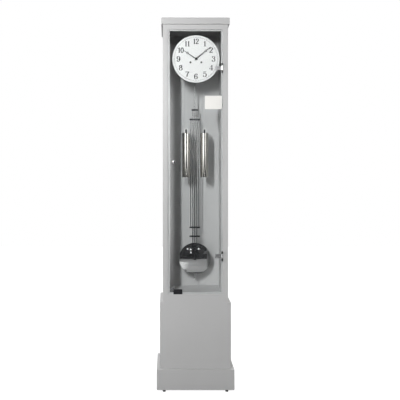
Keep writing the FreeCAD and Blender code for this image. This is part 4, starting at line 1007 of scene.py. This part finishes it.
@dataclass
class Studio:
    """A pale sweep with a key and a fill light, and what glass and polished metal show of the room."""

    camera: Point = (-0.1457, -2.9615, 1.080)
    lens: float = 49.95
    sensor: float = 36.0
    shift: Flat = (0.0825, -0.05)
    key: Point = (-0.90, -2.87, 2.13)
    key_size: Flat = (0.12, 0.75)
    key_watts: float = 81.0
    fill: Point = (-1.5, -2.6, 0.5)
    fill_size: Flat = (0.9, 0.9)
    fill_watts: float = 13.0
    aim: Point = (0.0, 0.0, 1.1)
    room_light: float = 0.07
    backdrop_light: float = 1.7
    backdrop_turn: float = 0.4
    floor: Span = (-6.0, 6.0, -6.0, 6.0)
    floor_coat: str = "#8C8C8C"
    floor_glow: float = 0.94
    mirrored_floor: float = 0.1
    wall: Span = (-5.0, 5.0, 0.0, 4.5)
    wall_colour: str = "#303032"
    wall_depth: float = -4.2
    # Boards and lamps stand this far before what is behind.
    apart: float = 0.02
    board_depth: float = -1.02
    board_glow: float = 2.6
    left_board: Span = (-1.15, -0.1, 1.13, 2.0)
    right_board: Span = (0.5, 1.15, 1.13, 2.0)
    board_rise: Flat = (1.13, 1.3)
    board_edge: Flat = (-0.17, -0.1)
    band_boards: tuple[tuple[Span, Flat], ...] = (
        ((-0.131, -0.086, 0.25, 1.2), (0.25, 0.75)), ((-0.131, -0.086, 1.2, 1.8), (1.78, 1.6)),
    )
    band_glow: float = 3.6
    band_edge: Flat = (-0.126, -0.088)
    floor_board: Span = (-1.8, -0.2, -2.6, -0.9)
    floor_board_height: float = 0.002
    floor_board_glow: float = 1.1
    floor_board_edge: Flat = (-0.55, -0.2)
    wall_lamps: tuple[Flat, ...] = ((-0.6, 1.16), (-0.25, 1.12), (-0.24, 0.76), (0.66, 1.16), (1.7, 1.0))
    wall_lamp_size: float = 0.13
    # A ray goes through two faces of the pane on its way in and two on its way out again.
    off_pane: Flat = (1.0, 1.5)
    through_pane: Flat = (4.0, 0.5)

    def build(self) -> None:
        """Sets the floor, the wall, the lamps, the room's light and the camera."""
        self.lamp("key_light", self.key, self.key_size, self.key_watts)
        self.lamp("fill_light", self.fill, self.fill_size, self.fill_watts)
        self.set_floor()
        self.set_wall()
        self.set_room()
        self.set_camera()
        bpy.context.scene.view_settings.view_transform = "Standard"

    def lamp(self, name: str, place: Point, size: Flat, watts: float) -> None:
        """Hangs a softbox.

        Args:
            name: The lamp's name.
            place: Where it hangs.
            size: Its width and height in metres.
            watts: Its power.
        """
        light = bpy.data.lights.new(name, "AREA")
        light.shape, light.energy = "RECTANGLE", watts
        light.size, light.size_y = size
        holder = bpy.data.objects.new(name, light)
        holder.location = place
        holder.rotation_euler = (Vector(self.aim) - Vector(place)).to_track_quat("-Z", "Y").to_euler()
        # Its light gets inside by the glass's shadow rays, so rays bent by the glass don't count it twice.
        holder.visible_transmission = False
        bpy.context.scene.collection.objects.link(holder)

    def seen(self, tree: Tree) -> Node:
        """One for a ray from the eye, straight or by way of metal and glass, and nothing for the rest.

        Args:
            tree: The node tree that takes the nodes.

        Returns:
            What gives the value.
        """
        path = add(tree, "ShaderNodeLightPath")
        first = add(tree, "ShaderNodeMath", {"operation": "MAXIMUM"},
                    {0: path.outputs["Is Camera Ray"], 1: path.outputs["Is Glossy Ray"]})
        second = add(tree, "ShaderNodeMath", {"operation": "MAXIMUM"},
                     {0: first, 1: path.outputs["Is Transmission Ray"]})
        sharp = add(tree, "ShaderNodeMath", {"operation": "LESS_THAN", 1: 0.5},
                    {0: path.outputs["Diffuse Depth"]})
        return add(tree, "ShaderNodeMath", {"operation": "MULTIPLY"}, {0: second, 1: sharp})

    def sheet(self, name: str, span: Span, at: float, material: bpy.types.Material, lying: bool = False,
              mirrored: bool = True) -> None:
        """Puts up a flat sheet of the room.

        Args:
            name: The sheet's name.
            span: Its left, right, lower and upper edge, or front and back edge where it lies.
            at: The depth that it stands at, or the height that it lies at.
            material: Its paint.
            lying: Whether it lies.
            mirrored: Whether only glass and polished things show it.
        """
        left, right, low, high = span
        flat = [(left, low), (right, low), (right, high), (left, high)]
        mesh = bpy.data.meshes.new(name)
        mesh.from_pydata([(x, y, at) if lying else (x, at, y) for x, y in flat], [], [(0, 1, 2, 3)])
        mesh.materials.append(material)
        made = bpy.data.objects.new(name, mesh)
        bpy.context.scene.collection.objects.link(made)
        if mirrored:
            made.visible_camera = made.visible_diffuse = made.visible_shadow = False

    def paint(self, name: str, colour: str, strength: float, rise: Flat = (-1.0, 0.0),
              edge: Flat = (9.0, 10.0), panes: Flat = (0.0, 99.0)) -> bpy.types.Material:
        """A paint that only the eye's rays see.

        Args:
            name: The paint's name.
            colour: Its colour.
            strength: Its brightness.
            rise: The heights between which it comes up from clear, upwards or downwards.
            edge: Where it goes back to clear on its right.
            panes: How many glass faces a ray has passed that sees it, and how far off that it may be.

        Returns:
            The paint.
        """
        material, tree = empty_material(name)
        place = add(tree, "ShaderNodeTexCoord").outputs["Object"]
        parts = add(tree, "ShaderNodeSeparateXYZ", {}, {"Vector": place})
        up = add(tree, "ShaderNodeMapRange", {"From Min": rise[0], "From Max": rise[1]},
                 {"Value": parts.outputs["Z"]})
        aside = add(tree, "ShaderNodeMapRange", {"From Min": edge[1], "From Max": edge[0]},
                    {"Value": parts.outputs["X"]})
        board = add(tree, "ShaderNodeMath", {"operation": "MULTIPLY"}, {0: up, 1: aside})
        passed = add(tree, "ShaderNodeMath", {"operation": "COMPARE", 1: panes[0], 2: panes[1]},
                     {0: add(tree, "ShaderNodeLightPath").outputs["Transmission Depth"]})
        full = add(tree, "ShaderNodeMath", {"operation": "MULTIPLY"}, {0: board, 1: passed})
        level = add(tree, "ShaderNodeMath", {"operation": "MULTIPLY", 1: strength}, {0: self.seen(tree)})
        glow = add(tree, "ShaderNodeEmission", {"Color": linear(colour)}, {"Strength": level})
        none = add(tree, "ShaderNodeBsdfTransparent")
        mix = add(tree, "ShaderNodeMixShader", {}, {0: full, 1: none, 2: glow})
        add(tree, "ShaderNodeOutputMaterial", {}, {"Surface": mix})
        return material

    def set_floor(self) -> None:
        """A pale floor that is white to the eye but for the object's shadow, and a bright board on it."""
        material, tree = empty_material("studio_floor_paint")
        path = add(tree, "ShaderNodeLightPath")
        # The floor before the clock is less lit than the sweep, and polished metal shows that.
        mirrored = add(tree, "ShaderNodeMapRange", {
            "From Max": 1.0, "To Min": self.floor_glow, "To Max": self.mirrored_floor,
        }, {"Value": path.outputs["Glossy Depth"]})
        level = add(tree, "ShaderNodeMath", {"operation": "MULTIPLY"}, {0: self.seen(tree), 1: mirrored})
        coat = add(tree, "ShaderNodeBsdfDiffuse", {"Color": linear(self.floor_coat)})
        glow = add(tree, "ShaderNodeEmission", {"Color": linear(WHITE)}, {"Strength": level})
        both = add(tree, "ShaderNodeAddShader", {}, {0: coat, 1: glow})
        add(tree, "ShaderNodeOutputMaterial", {}, {"Surface": both})
        self.sheet("studio_floor", self.floor, 0.0, material, lying=True, mirrored=False)
        white = self.paint("studio_floor_board_paint", WHITE, self.floor_board_glow,
                           edge=self.floor_board_edge)
        self.sheet("studio_floor_board", self.floor_board, self.floor_board_height, white, lying=True)

    def set_wall(self) -> None:
        """A dark wall behind the camera with small lamps on it, and boards and a window by the clock."""
        dark = self.paint("studio_wall_paint", self.wall_colour, 1.0)
        self.sheet("studio_wall", self.wall, self.wall_depth, dark)
        white = self.paint("studio_left_board_paint", WHITE, self.board_glow, self.board_rise,
                           self.board_edge)
        self.sheet("studio_left_board", self.left_board, self.board_depth, white)
        white = self.paint("studio_right_board_paint", WHITE, self.board_glow, self.board_rise)
        self.sheet("studio_right_board", self.right_board, self.board_depth, white)
        for number, (span, rise) in enumerate(self.band_boards):
            # The bright window stands in the pane's own reflection alone.
            band = self.paint("studio_band_paint_%d" % number, WHITE, self.band_glow, rise, self.band_edge,
                              self.off_pane)
            self.sheet("studio_band_%d" % number, span, self.board_depth + self.apart, band)
        # The lamps light up the polished things behind the pane, and don't stand in its own reflection.
        glow = self.paint("studio_lamp_glow", WHITE, self.board_glow, panes=self.through_pane)
        half = self.wall_lamp_size / 2
        for number, (x, z) in enumerate(self.wall_lamps):
            span = (x - half, x + half, z - half, z + half)
            self.sheet("studio_lamp_%d" % number, span, self.wall_depth + self.apart, glow)

    def set_room(self) -> None:
        """The room's light: white to the eye and in polished things, and weak as a lamp."""
        world = bpy.data.worlds.new("studio_room")
        world.use_nodes = True
        bpy.context.scene.world = world
        tree = world.node_tree
        tree.nodes.clear()
        # The sweep behind the clock is lit well and the room before it is not.
        way = add(tree, "ShaderNodeTexCoord").outputs["Generated"]
        parts = add(tree, "ShaderNodeSeparateXYZ", {}, {"Vector": way})
        level = add(tree, "ShaderNodeMapRange", {
            "From Min": 0.0, "From Max": self.backdrop_turn, "To Min": self.room_light,
            "To Max": self.backdrop_light,
        }, {"Value": parts.outputs["Y"]})
        lit = add(tree, "ShaderNodeBackground", {"Color": linear(WHITE)}, {"Strength": level})
        white = add(tree, "ShaderNodeBackground", {"Color": linear(WHITE), "Strength": 1.0})
        mix = add(tree, "ShaderNodeMixShader", {}, {0: self.seen(tree), 1: lit, 2: white})
        add(tree, "ShaderNodeOutputWorld", {}, {"Surface": mix})

    def set_camera(self) -> None:
        """The camera stands level at the photograph's place."""
        camera = bpy.data.cameras.new("studio_camera")
        camera.lens, camera.sensor_width = self.lens, self.sensor
        camera.shift_x, camera.shift_y = self.shift
        holder = bpy.data.objects.new("studio_camera", camera)
        holder.location = self.camera
        holder.rotation_euler = (math.radians(90), 0, 0)
        bpy.context.scene.collection.objects.link(holder)
        bpy.context.scene.camera = holder


def main() -> None:
    """Builds the clock's looks on its frame, and the studio round it."""
    logging.basicConfig(level=logging.INFO, format="%(message)s")
    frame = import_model()
    shop = Workshop(frame)
    for group in (Case(), Door(), Dial(), Movement(), Weights(), Pendulum()):
        group.build(shop)
    Studio().build()
    LOG.info("nodes without a finish: %s", shop.undressed())


if __name__ == "__main__":
    main()
